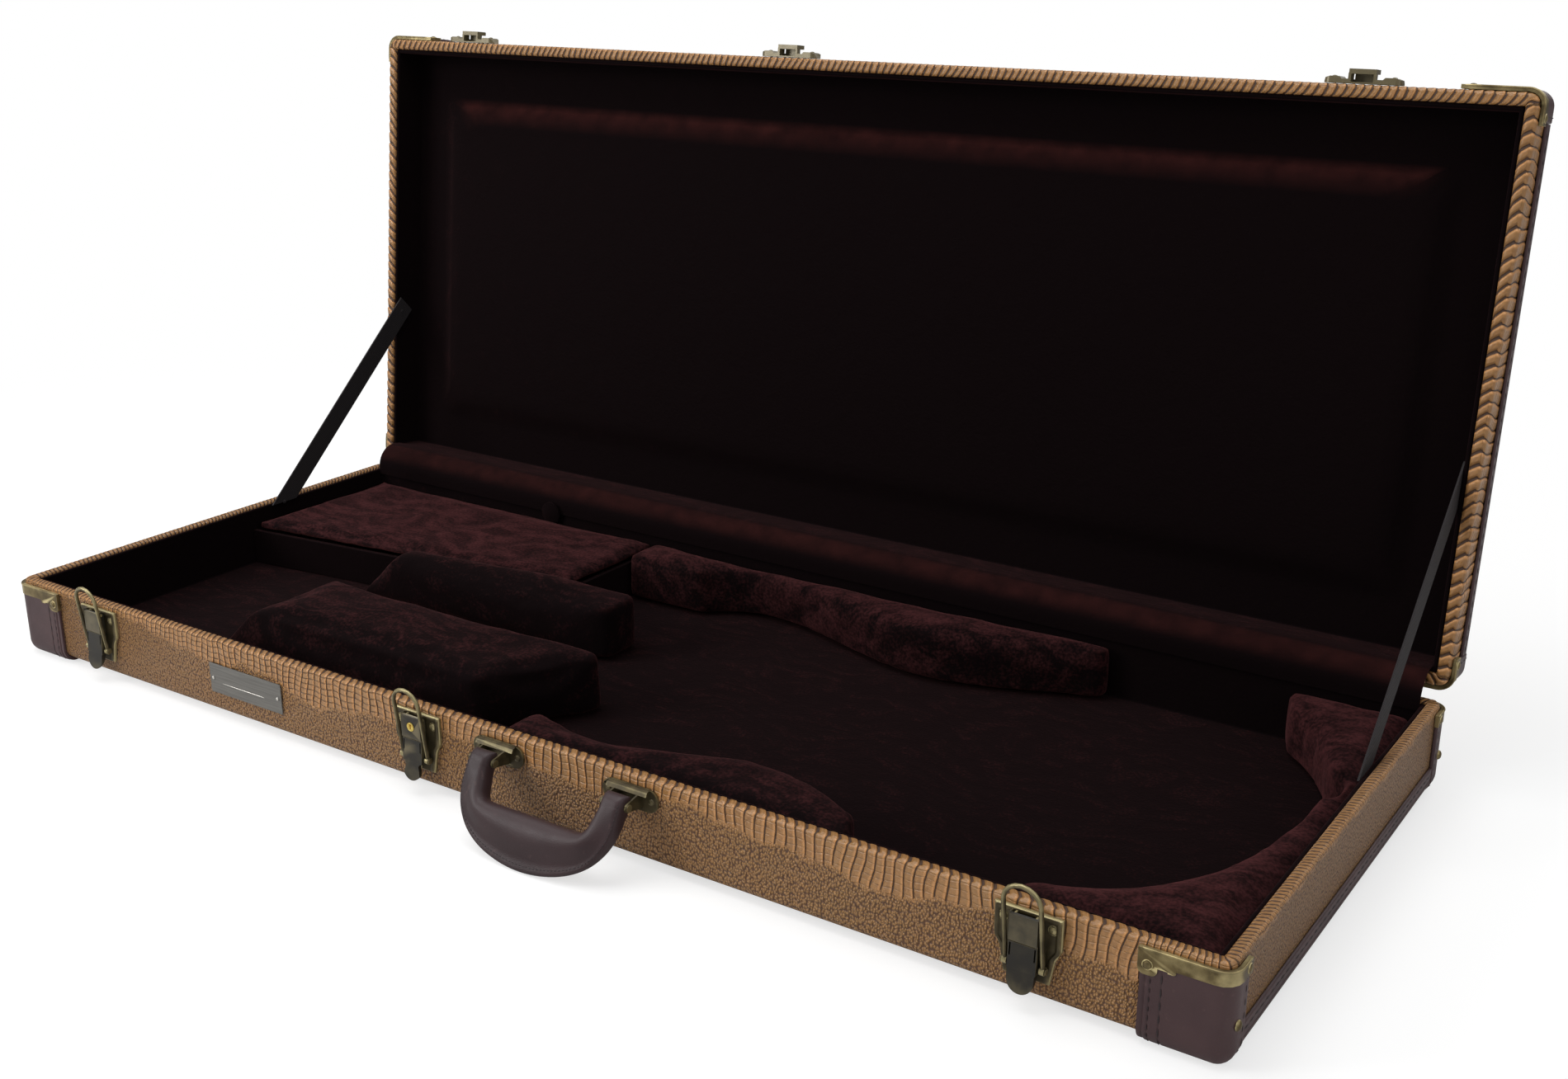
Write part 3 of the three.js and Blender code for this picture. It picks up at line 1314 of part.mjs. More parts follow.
// The lid is drawn closed and turned open about the hinge line
const hingeLine = new THREE.Group();
hingeLine.position.set(0, hingeY, hingeZ);
object.add(hingeLine);
const lid = new THREE.Group();
lid.rotation.x = -THREE.MathUtils.degToRad(lidOpenAngle);
hingeLine.add(lid);
hingePlaces.forEach((x, index) => {
  const name = latchNames[index];
  addMesh(hingeLine, `hinge_base_leaf_${name}`, hingeLeaf(false, true), 'brass').position.x = x;
  addMesh(lid, `hinge_lid_leaf_${name}`, hingeLeaf(true, false), 'brass').position.x = x;
});
const closed = new THREE.Group();
closed.position.set(0, -hingeY, -hingeZ);
lid.add(closed);
const lidShell = new THREE.Group();
lidShell.position.z = lidRim;
lidShell.rotation.x = Math.PI;
closed.add(lidShell);
shell(lidShell, 'lid', lidDepth, leatherThickness, ['back', 'front']);
const paddedPanel = toSolid(lidPad()).translate(0, 0, -lidDepth + panelThickness + seatGap);
addMesh(lidShell, 'lid_lining', toGeometry(wallLining(lidDepth).add(paddedPanel)), 'plush');
latchPlaces.forEach((x, index) => {
  const mesh = addMesh(closed, `lid_catch_${latchNames[index]}`, lidCatch(), 'brass');
  mesh.position.set(x, -halfWidth, 0);
});

export default object;
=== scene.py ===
import json
import math

import bmesh
import bpy
import numpy as np
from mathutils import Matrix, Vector, noise


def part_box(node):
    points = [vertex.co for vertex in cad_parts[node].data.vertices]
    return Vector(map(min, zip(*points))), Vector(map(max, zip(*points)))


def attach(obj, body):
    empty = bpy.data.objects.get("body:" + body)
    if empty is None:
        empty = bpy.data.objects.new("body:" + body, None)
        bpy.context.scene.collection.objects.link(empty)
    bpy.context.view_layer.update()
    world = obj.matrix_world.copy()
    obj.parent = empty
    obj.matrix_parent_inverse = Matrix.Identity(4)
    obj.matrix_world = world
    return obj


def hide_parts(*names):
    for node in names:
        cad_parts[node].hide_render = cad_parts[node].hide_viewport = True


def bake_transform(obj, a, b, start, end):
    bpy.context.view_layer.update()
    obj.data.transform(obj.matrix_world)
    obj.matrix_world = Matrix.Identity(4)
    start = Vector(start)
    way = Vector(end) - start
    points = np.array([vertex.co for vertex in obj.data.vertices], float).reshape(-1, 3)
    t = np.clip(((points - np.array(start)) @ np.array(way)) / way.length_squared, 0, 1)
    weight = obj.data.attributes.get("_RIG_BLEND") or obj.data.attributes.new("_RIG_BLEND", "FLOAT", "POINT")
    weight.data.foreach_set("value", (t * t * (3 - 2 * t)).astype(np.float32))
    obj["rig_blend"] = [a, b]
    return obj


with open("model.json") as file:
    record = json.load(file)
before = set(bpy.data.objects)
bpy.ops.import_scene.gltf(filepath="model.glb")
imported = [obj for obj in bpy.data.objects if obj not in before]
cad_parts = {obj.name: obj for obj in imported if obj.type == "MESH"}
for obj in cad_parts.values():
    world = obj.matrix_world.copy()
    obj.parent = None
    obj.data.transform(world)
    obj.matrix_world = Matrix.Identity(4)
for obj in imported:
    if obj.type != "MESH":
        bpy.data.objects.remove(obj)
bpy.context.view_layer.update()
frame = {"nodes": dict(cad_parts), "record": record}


# Camera
# The case is seen from the front right and a little above, with the whole lid in view.
sensor_width = 36.0
focal_pixels = 2151.85
picture_width = 1900
camera_place = (0.80796, -1.03790, 0.59589)
camera_azimuth = 33.97
camera_elevation = 19.03
camera = bpy.data.objects.new("camera", bpy.data.cameras.new("camera"))
bpy.context.scene.collection.objects.link(camera)
camera.data.sensor_width = sensor_width
camera.data.lens = focal_pixels * sensor_width / picture_width
camera.location = camera_place
camera.rotation_euler = (math.radians(90 - camera_elevation), 0, math.radians(camera_azimuth))
bpy.context.scene.camera = camera
bpy.context.scene.view_settings.view_transform = "Standard"


# Studio
# A white sheet under soft lamps above and in front. The sheet shows white to the camera and keeps
# the shadow under the case.
class Wire:
    """A socket of a node tree. Sums with it add Math nodes to the tree."""

    def __init__(self, tree, socket=None):
        self.tree = tree
        self.socket = socket

    def node(self, kind, settings, inputs, output=0):
        made = self.tree.nodes.new("ShaderNode" + kind)
        for name, value in settings.items():
            setattr(made, name, value)
        for name, value in inputs.items():
            socket = made.inputs[name]
            if isinstance(value, Wire):
                self.tree.links.new(value.socket, socket)
            else:
                socket.default_value = value
        return Wire(self.tree, made.outputs[output] if made.outputs else None)

    def maths(self, operation, *others):
        return self.node("Math", {"operation": operation}, dict(enumerate((self, *others))))

    def __add__(self, other):
        return self.maths("ADD", other)

    def __mul__(self, other):
        return self.maths("MULTIPLY", other)

    def __sub__(self, other):
        return self.maths("SUBTRACT", other)

    def __rsub__(self, other):
        return self.node("Math", {"operation": "SUBTRACT"}, {0: other, 1: self})

    def __truediv__(self, other):
        return self.maths("DIVIDE", other)

    __radd__ = __add__
    __rmul__ = __mul__

    def mix(self, low, high):
        """Colour between two others, with this value as the share of the second."""
        return self.node("Mix", {"data_type": "RGBA"}, {0: self, 6: low, 7: high}, 2)

    def ramp(self, start, end):
        """This value from start to end brought to 0 to 1, with soft ends."""
        settings = {"interpolation_type": "SMOOTHSTEP"}
        return self.node("MapRange", settings, {0: self, 1: start, 2: end})

    def noise(self, place, scale, detail=3.0, output=0):
        inputs = {"Vector": place, "Scale": scale, "Detail": detail}
        return self.node("TexNoise", {}, inputs, output)


def colour(red, green, blue):
    """Colour from the three numbers of a screen."""
    linear = [((v / 255 + 0.055) / 1.055) ** 2.4 if v > 10 else v / 3294 for v in (red, green, blue)]
    return (*linear, 1.0)


floor_height = -0.0040
floor_size = 6.0
sheet_mesh = bpy.data.meshes.new("table_sheet")
sheet_mesh.from_pydata(
    [(x * floor_size, y * floor_size, floor_height) for x, y in ((-1, -1), (1, -1), (1, 1), (-1, 1))],
    [], [(0, 1, 2, 3)],
)
table_sheet = bpy.data.objects.new("table_sheet", sheet_mesh)
bpy.context.scene.collection.objects.link(table_sheet)


def ray_is(start, *kinds):
    """1 for rays of these kinds, 0 for all others."""
    node = start.node("LightPath", {}, {}).socket.node
    wires = [Wire(start.tree, node.outputs[f"Is {kind} Ray"]) for kind in kinds]
    return wires[0] if len(wires) == 1 else wires[0].maths("MAXIMUM", wires[1])


sheet_finish = bpy.data.materials.new("table_sheet")
sheet_finish.use_nodes = True
sheet_finish.node_tree.nodes.clear()
start = Wire(sheet_finish.node_tree)
lit = start.node("BsdfDiffuse", {}, {"Color": (0.8, 0.8, 0.8, 1)})
shaded = start.node("BsdfDiffuse", {}, {"Color": (0.42, 0.42, 0.42, 1)})
glow = start.node("Emission", {}, {"Color": (1, 1, 1, 1), "Strength": 0.66})
shown = start.node("AddShader", {}, {0: glow, 1: shaded})
white = start.node("Emission", {}, {"Color": (1, 1, 1, 1), "Strength": 1.0})
spot = start.node("NewGeometry", {}, {}, 0)
away = start.node("VectorMath", {"operation": "LENGTH"}, {0: spot}, 1)
faded = start.node("MixShader", {}, {0: away.ramp(0.75, 1.5), 1: shown, 2: white})
both = start.node("MixShader", {}, {0: ray_is(start, "Camera", "Transmission"), 1: lit, 2: faded})
start.node("OutputMaterial", {}, {"Surface": both})
sheet_mesh.materials.append(sheet_finish)

room = bpy.data.worlds.new("room")
bpy.context.scene.world = room
room.use_nodes = True
room.node_tree.nodes.clear()
start = Wire(room.node_tree)
ambient = start.node("Background", {}, {"Color": (1, 1, 1, 1), "Strength": 0.36})
backdrop = start.node("Background", {}, {"Color": (1, 1, 1, 1), "Strength": 1.0})
sky = start.node("TexCoord", {}, {}, 0)
height = Wire(start.tree, start.node("SeparateXYZ", {}, {0: sky}).socket.node.outputs[2])
panels = height.ramp(0.1, 0.8) * 0.9 + 0.12
mirrored = start.node("Background", {}, {"Color": (1, 1, 1, 1), "Strength": panels})
indirect = start.node("MixShader", {}, {0: ray_is(start, "Glossy"), 1: ambient, 2: mirrored})
both = start.node("MixShader", {}, {0: ray_is(start, "Camera", "Transmission"), 1: indirect, 2: backdrop})
start.node("OutputWorld", {}, {"Surface": both})

lamps = {
    "lamp_above": ((-0.4, -0.3, 2.2), (0, 0, 0.1), 1.6, 24),
    "lamp_front": ((-1.5, -1.5, 1.0), (-0.2, 0, 0.1), 1.0, 22),
    "lamp_right": ((2.3, -0.7, 1.1), (0.3, 0, 0.1), 1.2, 7),
    "lamp_back": ((0.6, 2.2, 1.7), (0, 0, 0.2), 1.4, 12),
}
for name, (place, target, size, power) in lamps.items():
    lamp = bpy.data.objects.new(name, bpy.data.lights.new(name, "AREA"))
    bpy.context.scene.collection.objects.link(lamp)
    lamp.data.size = size
    lamp.data.energy = power
    lamp.location = place
    lamp.rotation_euler = (Vector(target) - Vector(place)).to_track_quat("-Z", "Y").to_euler()


# Base and lid walls
# Plywood boards covered in one piece with embossed reptile grain vinyl that turns over the rim.
# Square belly scales run in rows below the rim and break up into small pebbled ones further down.
half_length = 545.0
half_width = 211.5
board = 9.5
corner_radius = 9.0
least_radius = 0.8
corner_steps = 6
edge_radius = 8.5
hide_rim_radius = 3.0
rim_inner_radius = 2.5
depths = {"base": 64.0, "lid": 42.0}
lid_rim = 64.8
hinge_line = (217.5, 64.4)
lid_angle = math.radians(-96.3)
hide_pitch = 1.6
relief_depth = 0.7
column_width = 7.4
row_height = 4.8


def sine(value):
    return value.maths("SINE") if isinstance(value, Wire) else np.sin(value)


def fraction(value):
    return value.maths("FRACT") if isinstance(value, Wire) else value - np.floor(value)


def soft_step(value, start, end):
    if isinstance(value, Wire):
        return value.ramp(start, end)
    share = np.clip((value - start) / (end - start), 0, 1)
    return share * share * (3 - 2 * share)


def to_border(cells):
    """Distance to the nearest border of a row of cells, 0.5 in a cell's middle."""
    off = fraction(cells) - 0.5
    return 0.5 - (off.maths("ABSOLUTE") if isinstance(off, Wire) else np.abs(off))


def belly_scales(along, down, spread, slope=0.24):
    """Height of the square scales, share of pebbles, share of the rim and place across a column."""
    drift = 1.3 * sine(along * 0.037 + down * 0.08) + 0.8 * sine(along * 0.101 - down * 0.17)
    column = fraction((along + drift + down * 0.08) / column_width)
    row = (down + 0.5 * drift + 0.6 * sine(along * 0.27)) / row_height
    ribs = soft_step(column, 0.02, slope) * soft_step(1.0 - column, 0.0, slope * 0.6)
    ribs = ribs * (0.6 + 0.4 * soft_step(column, 0.2, 0.85))
    cut = 0.7 - 0.34 * soft_step(along, -160.0, 120.0)
    squares = ribs * (1.0 - cut * (1.0 - soft_step(to_border(row), 0.02, slope)))
    scallops = soft_step(column, 0.08, 0.4) * soft_step(1.0 - column, 0.04, 0.22)
    on_rim = soft_step(2.2 - down, 0.0, 2.4)
    squares = squares * (1.0 - on_rim) + scallops * on_rim
    border = spread + 1.5 * sine(along * 0.063) + 1.2 * sine(along * 0.17)
    return squares, soft_step(down - border, -3.0, 4.0), on_rim, column


def grid_faces(rows, columns, close_rows=False, close_columns=False):
    """Quads of a grid of points, row by row, as four indices each."""
    across = np.arange(columns if close_columns else columns - 1)
    down = np.arange(rows if close_rows else rows - 1)
    left, top = np.meshgrid(across, down)
    right = (left + 1) % columns
    low = (top + 1) % rows
    corners = [top * columns + left, top * columns + right, low * columns + right, low * columns + left]
    return np.stack(corners, axis=-1).reshape(-1, 4)


def mark_place(mesh, place):
    """Gives each point of a mesh its place on the hide, in millimetres."""
    spot = mesh.attributes.new("place", "FLOAT_VECTOR", "POINT")
    spot.data.foreach_set("vector", np.asarray(place, np.float32).ravel())


def piece_from(name, points, faces, material, body, replaced=(), sharp=40, place=None):
    """New object from points in millimetres in the case's frame, riding on a body."""
    mesh = bpy.data.meshes.new(name)
    mesh.from_pydata((np.asarray(points) * 0.001).tolist(), [], [list(map(int, face)) for face in faces])
    if place is not None:
        mark_place(mesh, place)
    work = bmesh.new()
    work.from_mesh(mesh)
    bmesh.ops.recalc_face_normals(work, faces=work.faces)
    work.to_mesh(mesh)
    work.free()
    mesh.polygons.foreach_set("use_smooth", [True] * len(mesh.polygons))
    mesh.set_sharp_from_angle(angle=math.radians(sharp))
    mesh.materials.append(material)
    piece = bpy.data.objects.new(name, mesh)
    bpy.context.scene.collection.objects.link(piece)
    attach(piece, body)
    if replaced:
        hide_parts(*replaced)
    return piece


def finish(name, recipe, **constants):
    """Material whose recipe gives what feeds its shader from the start of its tree."""
    material = bpy.data.materials.new(name)
    material.use_nodes = True
    material.node_tree.nodes.clear()
    start = Wire(material.node_tree)
    inputs = {key.replace("_", " "): value for key, value in constants.items()}
    inputs.update(recipe(start))
    shader = start.node("BsdfPrincipled", {}, inputs)
    start.node("OutputMaterial", {}, {"Surface": shader})
    return material


def in_case_frame(points, shell):
    """Points of a shell's own frame, rim at zero and panel below, in the case's frame."""
    points = np.asarray(points, float)
    if shell == "base":
        return points + (0, 0, depths["base"])
    closed = points * (1, -1, -1) + (0, 0, lid_rim)
    y, z = closed[..., 1] - hinge_line[0], closed[..., 2] - hinge_line[1]
    turned = closed.copy()
    turned[..., 1] = hinge_line[0] + y * math.cos(lid_angle) - z * math.sin(lid_angle)
    turned[..., 2] = hinge_line[1] + y * math.sin(lid_angle) + z * math.cos(lid_angle)
    return turned


def arc(centre, radius, start, end, steps):
    """Points of an arc given in degrees, without its first point."""
    angles = np.radians(np.linspace(start, end, steps + 1)[1:])
    return [(centre[0] + radius * math.cos(a), centre[1] + radius * math.sin(a)) for a in angles]


def wall_section(depth):
    """Closed section of a wall, as inset from the outer face and height."""
    down = max(int((depth - hide_rim_radius - edge_radius) / hide_pitch), 3)
    path = [(board, -depth + 0.4), (board, -depth / 2), (board, -10), (board, -rim_inner_radius)]
    path += arc((board - rim_inner_radius, -rim_inner_radius), rim_inner_radius, 0, 90, 4)
    path += [(x, 0) for x in np.linspace(board - rim_inner_radius, hide_rim_radius, 5)[1:]]
    path += arc((hide_rim_radius, -hide_rim_radius), hide_rim_radius, 90, 180, 6)
    low = -depth + edge_radius
    path += [(0, z) for z in np.linspace(-hide_rim_radius, low, down + 1)[1:]]
    path += arc((edge_radius, low), edge_radius, 180, 270, 9)
    return np.array(path)


def loop_points(inset, radius, steps):
    """Rounded rectangle in plan, with the steps of its long and short sides and corners."""
    x, y = half_length - inset - radius, half_width - inset - radius
    parts = []
    for cx, cy, begin, side in ((x, -y, -90, 1), (x, y, 0, 0), (-x, y, 90, 1), (-x, -y, 180, 0)):
        angle = np.radians(np.linspace(begin, begin + 90, steps[2] + 1))
        corner = np.column_stack([cx + radius * np.cos(angle), cy + radius * np.sin(angle)])
        reach = 2 * (x, y)[side]
        way = np.array((-math.sin(angle[0] + math.pi / 2), math.cos(angle[0] + math.pi / 2)))
        share = np.linspace(0, reach, steps[side] + 1)[1:-1, None]
        parts += [corner, corner[-1] + way * share]
    return np.concatenate(parts)


def normals_of(grid):
    """Outward unit normals of a grid that closes in both directions."""
    down = np.roll(grid, -1, 0) - np.roll(grid, 1, 0)
    across = np.roll(grid, -1, 1) - np.roll(grid, 1, 1)
    normal = np.cross(down, across)
    return normal / np.maximum(np.linalg.norm(normal, axis=2, keepdims=True), 1e-9)


def vinyl_recipe(start):
    place = start.node("Attribute", {"attribute_name": "place"}, {}, 1)
    split = start.node("SeparateXYZ", {}, {0: place}).socket.node
    along, down, spread = (Wire(start.tree, socket) for socket in split.outputs)
    squares, share, on_rim, column = belly_scales(along, down, spread, 0.15)
    wander = start.noise(place, 0.16, 2, 1)
    bent = start.node("VectorMath", {"operation": "MULTIPLY_ADD"}, {0: wander, 1: (2.6, 2.6, 0), 2: place})
    narrow = start.node("VectorMath", {"operation": "MULTIPLY"}, {0: bent, 1: (1.2, 0.95, 1)})
    cells = {"Vector": narrow, "Scale": 0.46, "Randomness": 0.85}
    pebble = start.node("TexVoronoi", {"voronoi_dimensions": "2D"}, cells).socket.node
    from_middle = Wire(start.tree, pebble.outputs["Distance"])
    chosen = Wire(start.tree, pebble.outputs["Color"])
    cell_tone = Wire(start.tree, start.node("SeparateXYZ", {}, {0: chosen}).socket.node.outputs[0])
    fine = start.noise(place, 1.7, 3)
    grime = start.noise(place, 0.35, 4)
    patch = start.noise(place, 0.03, 4)
    domes = 1.0 - (from_middle + (fine - 0.5) * 0.14 + cell_tone * 0.08).ramp(0.05, 0.8)
    # Painted highlight on the right side of each square column.
    lit_edge = column.ramp(0.62, 0.86) * (1.0 - share)
    crest = (squares * (1.0 - share)).ramp(0.05, 0.5) + (domes * share).ramp(0.0, 0.34)
    crest = (crest + (grime - 0.5) * 0.3).ramp(0.0, 1.0)
    face = cell_tone.mix(colour(140, 99, 57), colour(167, 121, 72))
    face = patch.ramp(0.35, 0.7).mix(face, colour(152, 111, 66))
    # Painted highlight on the tops of the pebbles.
    face = (domes.ramp(0.5, 0.95) * share * 0.6).mix(face, colour(208, 156, 98))
    face = (lit_edge * 0.8).mix(face, colour(208, 150, 94))
    deep = share.mix(colour(62, 38, 22), colour(88, 56, 33))
    tone = crest.mix(deep, face)
    height = squares * (1.0 - share) + domes * share * 1.3 + fine * 0.14
    bump = start.node("Bump", {}, {"Strength": 1.0, "Distance": 0.0013, "Height": height})
    return {"Base Color": tone, "Roughness": 0.56 - crest * 0.24, "Normal": bump}


vinyl = finish("reptile_vinyl", vinyl_recipe, Specular_IOR_Level=0.5)

# Along the base's long walls: how fine the grain is and how far its square scales reach down
fineness = np.array((
    (-545, 1.8), (-480, 1.6), (-420, 1.45), (-350, 1.3), (-280, 1.12), (-150, 1.0), (488, 1.0),
    (500, 1.75), (545, 1.8),
))
reach_line = np.array((
    (-545, 5), (-440, 7), (-380, 12), (-330, 20), (-290, 27), (-262, 14), (-235, 19), (-190, 31),
    (-150, 27), (-100, 22), (-60, 16), (-20, 19), (20, 16), (70, 25), (110, 26), (150, 12), (200, 16),
    (260, 21), (320, 28), (380, 20), (420, 13), (450, 25), (500, 32), (545, 32),
))
end_wall_fineness = {"base": 1.75, "lid": 0.8}
base_end_reach = 5.0
lid_fineness = 1.15
lid_reach = 60.0
row_fineness = 0.35
rim_lean = 0.7
relief_start = -6.0


def grain_place(outline, on_long, shell):
    """Run along the hide, its fineness and the reach of its square scales around a shell."""
    x, y = outline[:, 0], outline[:, 1]
    end_finer = end_wall_fineness[shell]
    if shell == "lid":
        finer = np.where(on_long, lid_fineness, end_finer)
        return np.where(on_long, x, y) * finer, finer, np.full_like(x, lid_reach)
    stations = np.linspace(-half_length, half_length, 1091)
    rate = np.interp(stations, *fineness.T)
    run = np.cumsum(rate) * (stations[1] - stations[0])
    along = np.where(on_long, np.interp(x, stations, run - run[len(run) // 2]), y * end_finer)
    finer = np.where(on_long, np.interp(x, *fineness.T), end_finer)
    return along, finer, np.where(on_long, np.interp(x, *reach_line.T), base_end_reach)


for shell, depth in depths.items():
    section = wall_section(depth)
    steps = (int(2 * half_length / hide_pitch), int(2 * half_width / hide_pitch), corner_steps)
    rows = []
    for inset, height in section:
        ring = loop_points(inset, max(corner_radius - inset, least_radius), steps)
        rows.append(np.column_stack([ring, np.full(len(ring), height)]))
    grid = np.array(rows)
    travel = np.concatenate([[0], np.cumsum(np.linalg.norm(np.diff(section, axis=0), axis=1))])
    rim_start = int(np.argmin(np.hypot(section[:, 0] - hide_rim_radius, section[:, 1])))
    travel -= travel[rim_start]
    outline = grid[rim_start]
    on_long = np.abs(outline[:, 1]) > half_width - corner_radius
    along, finer, reach = grain_place(outline, on_long, shell)
    lean = np.where(travel < 0, -travel * rim_lean, 0)
    place = np.zeros_like(grid)
    place[..., 0] = along + lean[:, None]
    place[..., 1] = travel[:, None] * (1 + row_fineness * (finer - 1))
    place[..., 2] = reach
    squares, share, *_ = belly_scales(place[..., 0], place[..., 1], place[..., 2])
    sunk = (1 - squares) * (1 - share) + 0.4 * share
    shown = (travel > relief_start)[:, None]
    grid = grid - normals_of(grid) * (sunk * relief_depth * shown / finer)[..., None]
    walls = [f"{shell}_{side}_wall" for side in ("front", "back", "left", "right")]
    count, around = grid.shape[:2]
    piece_from(
        f"{shell}_vinyl_walls", in_case_frame(grid.reshape(-1, 3), shell),
        grid_faces(count, around, True, True), vinyl, shell, walls, 60, place.reshape(-1, 3),
    )


# Base and lid panels
# The bottom and the lid's top are thin boards between the walls, under a sheet of the same vinyl
# that stops short of the leather corners.
body_of_node = {
    node: body
    for body, nodes in frame["record"]["behaviour"]["bodies"].items()
    for node in nodes
}


def copy_of(node, name, material, bevel=0.0, segments=2, sharp=28, rides=True):
    """Copy of a CAD node with flat faces joined, eased edges and a finish of its own."""
    work = bmesh.new()
    work.from_mesh(frame["nodes"][node].data)
    bmesh.ops.remove_doubles(work, verts=work.verts, dist=0.00001)
    bmesh.ops.dissolve_limit(work, angle_limit=math.radians(1.0), verts=work.verts, edges=work.edges)
    mesh = bpy.data.meshes.new(name)
    work.to_mesh(mesh)
    work.free()
    for attribute in list(mesh.attributes):
        if attribute.name == "custom_normal":
            mesh.attributes.remove(attribute)
    piece = bpy.data.objects.new(name, mesh)
    bpy.context.scene.collection.objects.link(piece)
    mesh.materials.clear()
    mesh.materials.append(material)
    if bevel:
        ease = piece.modifiers.new("ease", "BEVEL")
        ease.width = bevel
        ease.segments = segments
        ease.limit_method = "ANGLE"
        ease.angle_limit = math.radians(30)
        apply_modifiers(piece)
    piece.data.polygons.foreach_set("use_smooth", [True] * len(piece.data.polygons))
    piece.data.set_sharp_from_angle(angle=math.radians(sharp))
    if bevel:
        even = piece.modifiers.new("even", "WEIGHTED_NORMAL")
        even.keep_sharp = True
        apply_modifiers(piece)
    if rides:
        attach(piece, body_of_node[node])
    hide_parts(node)
    return piece


def apply_modifiers(piece):
    """The piece's mesh becomes what its modifiers make of it."""
    graph = bpy.context.evaluated_depsgraph_get()
    final = bpy.data.meshes.new_from_object(piece.evaluated_get(graph))
    piece.modifiers.clear()
    piece.data = final


pebbles_only = -500.0
for shell in depths:
    panel = copy_of(f"{shell}_panel", f"{shell}_vinyl_panel", vinyl, 0.0004)
    points = np.array([v.co for v in panel.data.vertices]) * 1000
    down = points[:, 1] if shell == "base" else points[:, 2]
    mark_place(panel.data, np.column_stack([points[:, 0], down, np.full(len(points), pebbles_only)]))


# Leather ends
# Leather caps on the lower corners with a binding between them along each end. Pressed lines and
# three rows of thread run down each cap, and one row along the binding.
rim_radius = 4.0
leather_seat = 0.3
leather_thickness = 2.3
foot_thickness = {"base": 3.5, "lid": 2.3}
cap_front = 53.0
cap_side = 20.0
binding_thickness = 1.8
binding_rise = 18.0
binding_return = 14.0
cap_top = 8.3
long_sides = {"base": {-1: "front", 1: "back"}, "lid": {-1: "back", 1: "front"}}
ends = {"left": -1, "right": 1}
arc_share = corner_radius * math.pi / 4
rim_run = rim_radius * math.pi / 2
edge_run = edge_radius * math.pi / 2


def section_at(run, grow, foot, depth):
    """Inset and height at a run along the covering from the rim's flat, grown outward."""
    straight = depth - rim_radius - edge_radius
    upper = np.clip(run / rim_radius, 0, math.pi / 2)
    lower = np.clip((run - rim_run - straight) / edge_radius, 0, math.pi / 2)
    middle = np.clip(run - rim_run, 0, straight)
    under = np.maximum(run - rim_run - straight - edge_run, 0)
    share = np.sin(lower)
    inset = np.where(
        run < rim_run, rim_radius - (rim_radius + grow) * np.sin(upper),
        edge_radius - (edge_radius + grow) * np.cos(lower),
    )
    height = np.where(
        run < rim_run, -rim_radius + (rim_radius + grow) * np.cos(upper),
        -rim_radius - middle - (edge_radius + foot) * share,
    )
    return inset + under, height


def corner_at(around, inset):
    """Plan place at a run around the front right corner, zero at its middle."""
    reach = np.maximum(corner_radius, inset)
    radius = np.maximum(corner_radius - inset, 0)
    angle = math.pi / 4 + np.clip(around, -arc_share, arc_share) / corner_radius
    centre_x, centre_y = half_length - reach, -half_width + reach
    front = np.maximum(-around - arc_share, 0) * (cap_front - reach) / (cap_front - corner_radius)
    side = np.maximum(around - arc_share, 0) * (cap_side - reach) / (cap_side - corner_radius)
    x = centre_x + radius * np.sin(angle) - front
    y = centre_y - radius * np.cos(angle) + side
    return x, y


def rounded_edge(distance, width):
    """Share of full thickness at a distance from a cut edge that is rolled over."""
    share = np.clip(distance / width, 0, 1)
    return np.sqrt(np.maximum(1 - (1 - share) ** 2, 0))


def groove(distance, width):
    """Depth share of a pressed seam at a distance from its line."""
    return np.exp(-((distance / width) ** 2))


def closed_sheet(outer, inner):
    """Points and faces of a sheet between two grids of the same size."""
    rows, columns = outer.shape[:2]
    count = rows * columns
    faces = [tuple(face) for face in grid_faces(rows, columns)]
    back = [tuple(count + i for i in reversed(face)) for face in faces]
    border = [(0, c) for c in range(columns)] + [(r, columns - 1) for r in range(1, rows)]
    border += [(rows - 1, c) for c in range(columns - 2, -1, -1)]
    border += [(r, 0) for r in range(rows - 2, 0, -1)]
    ring = [r * columns + c for r, c in border]
    sides = [
        (ring[i], ring[(i + 1) % len(ring)], count + ring[(i + 1) % len(ring)], count + ring[i])
        for i in range(len(ring))
    ]
    return np.concatenate([outer.reshape(-1, 3), inner.reshape(-1, 3)]), faces + back + sides


def tube_faces(rings, sides):
    """Faces of a tube of rings of points, with a face at each end."""
    last = (rings - 1) * sides
    faces = [tuple(face) for face in grid_faces(rings, sides, False, True)]
    return faces + [tuple(range(sides)), tuple(last + i for i in range(sides))]


def stitch_mesh(rows, length=5.4, width=1.0, proud=0.34):
    """Points and faces of thread stitches. A row gives places, directions and normals."""
    points, faces = [], []
    rings, sides = 5, 6
    tube = tube_faces(rings, sides)
    for places, ways, ups in rows:
        for place, way, up in zip(places, ways, ups):
            side = np.cross(up, way)
            base = len(points)
            for ring in range(rings):
                share = ring / (rings - 1)
                swell = math.sin(math.pi * (0.06 + 0.88 * share)) ** 0.6
                centre = place + way * (share - 0.5) * length + up * (proud * (swell - 0.75))
                for corner in range(sides):
                    angle = 2 * math.pi * corner / sides
                    points.append(centre + side * math.cos(angle) * width / 2 * swell
                                  + up * math.sin(angle) * proud * swell)
            faces += [tuple(base + i for i in face) for face in tube]
    return np.array(points), faces


def joined(parts):
    """Points and faces of several bodies as one mesh."""
    points, faces, count = [], [], 0
    for some_points, some_faces in parts:
        points.append(some_points)
        faces += [tuple(count + i for i in face) for face in some_faces]
        count += len(some_points)
    return np.concatenate(points), faces


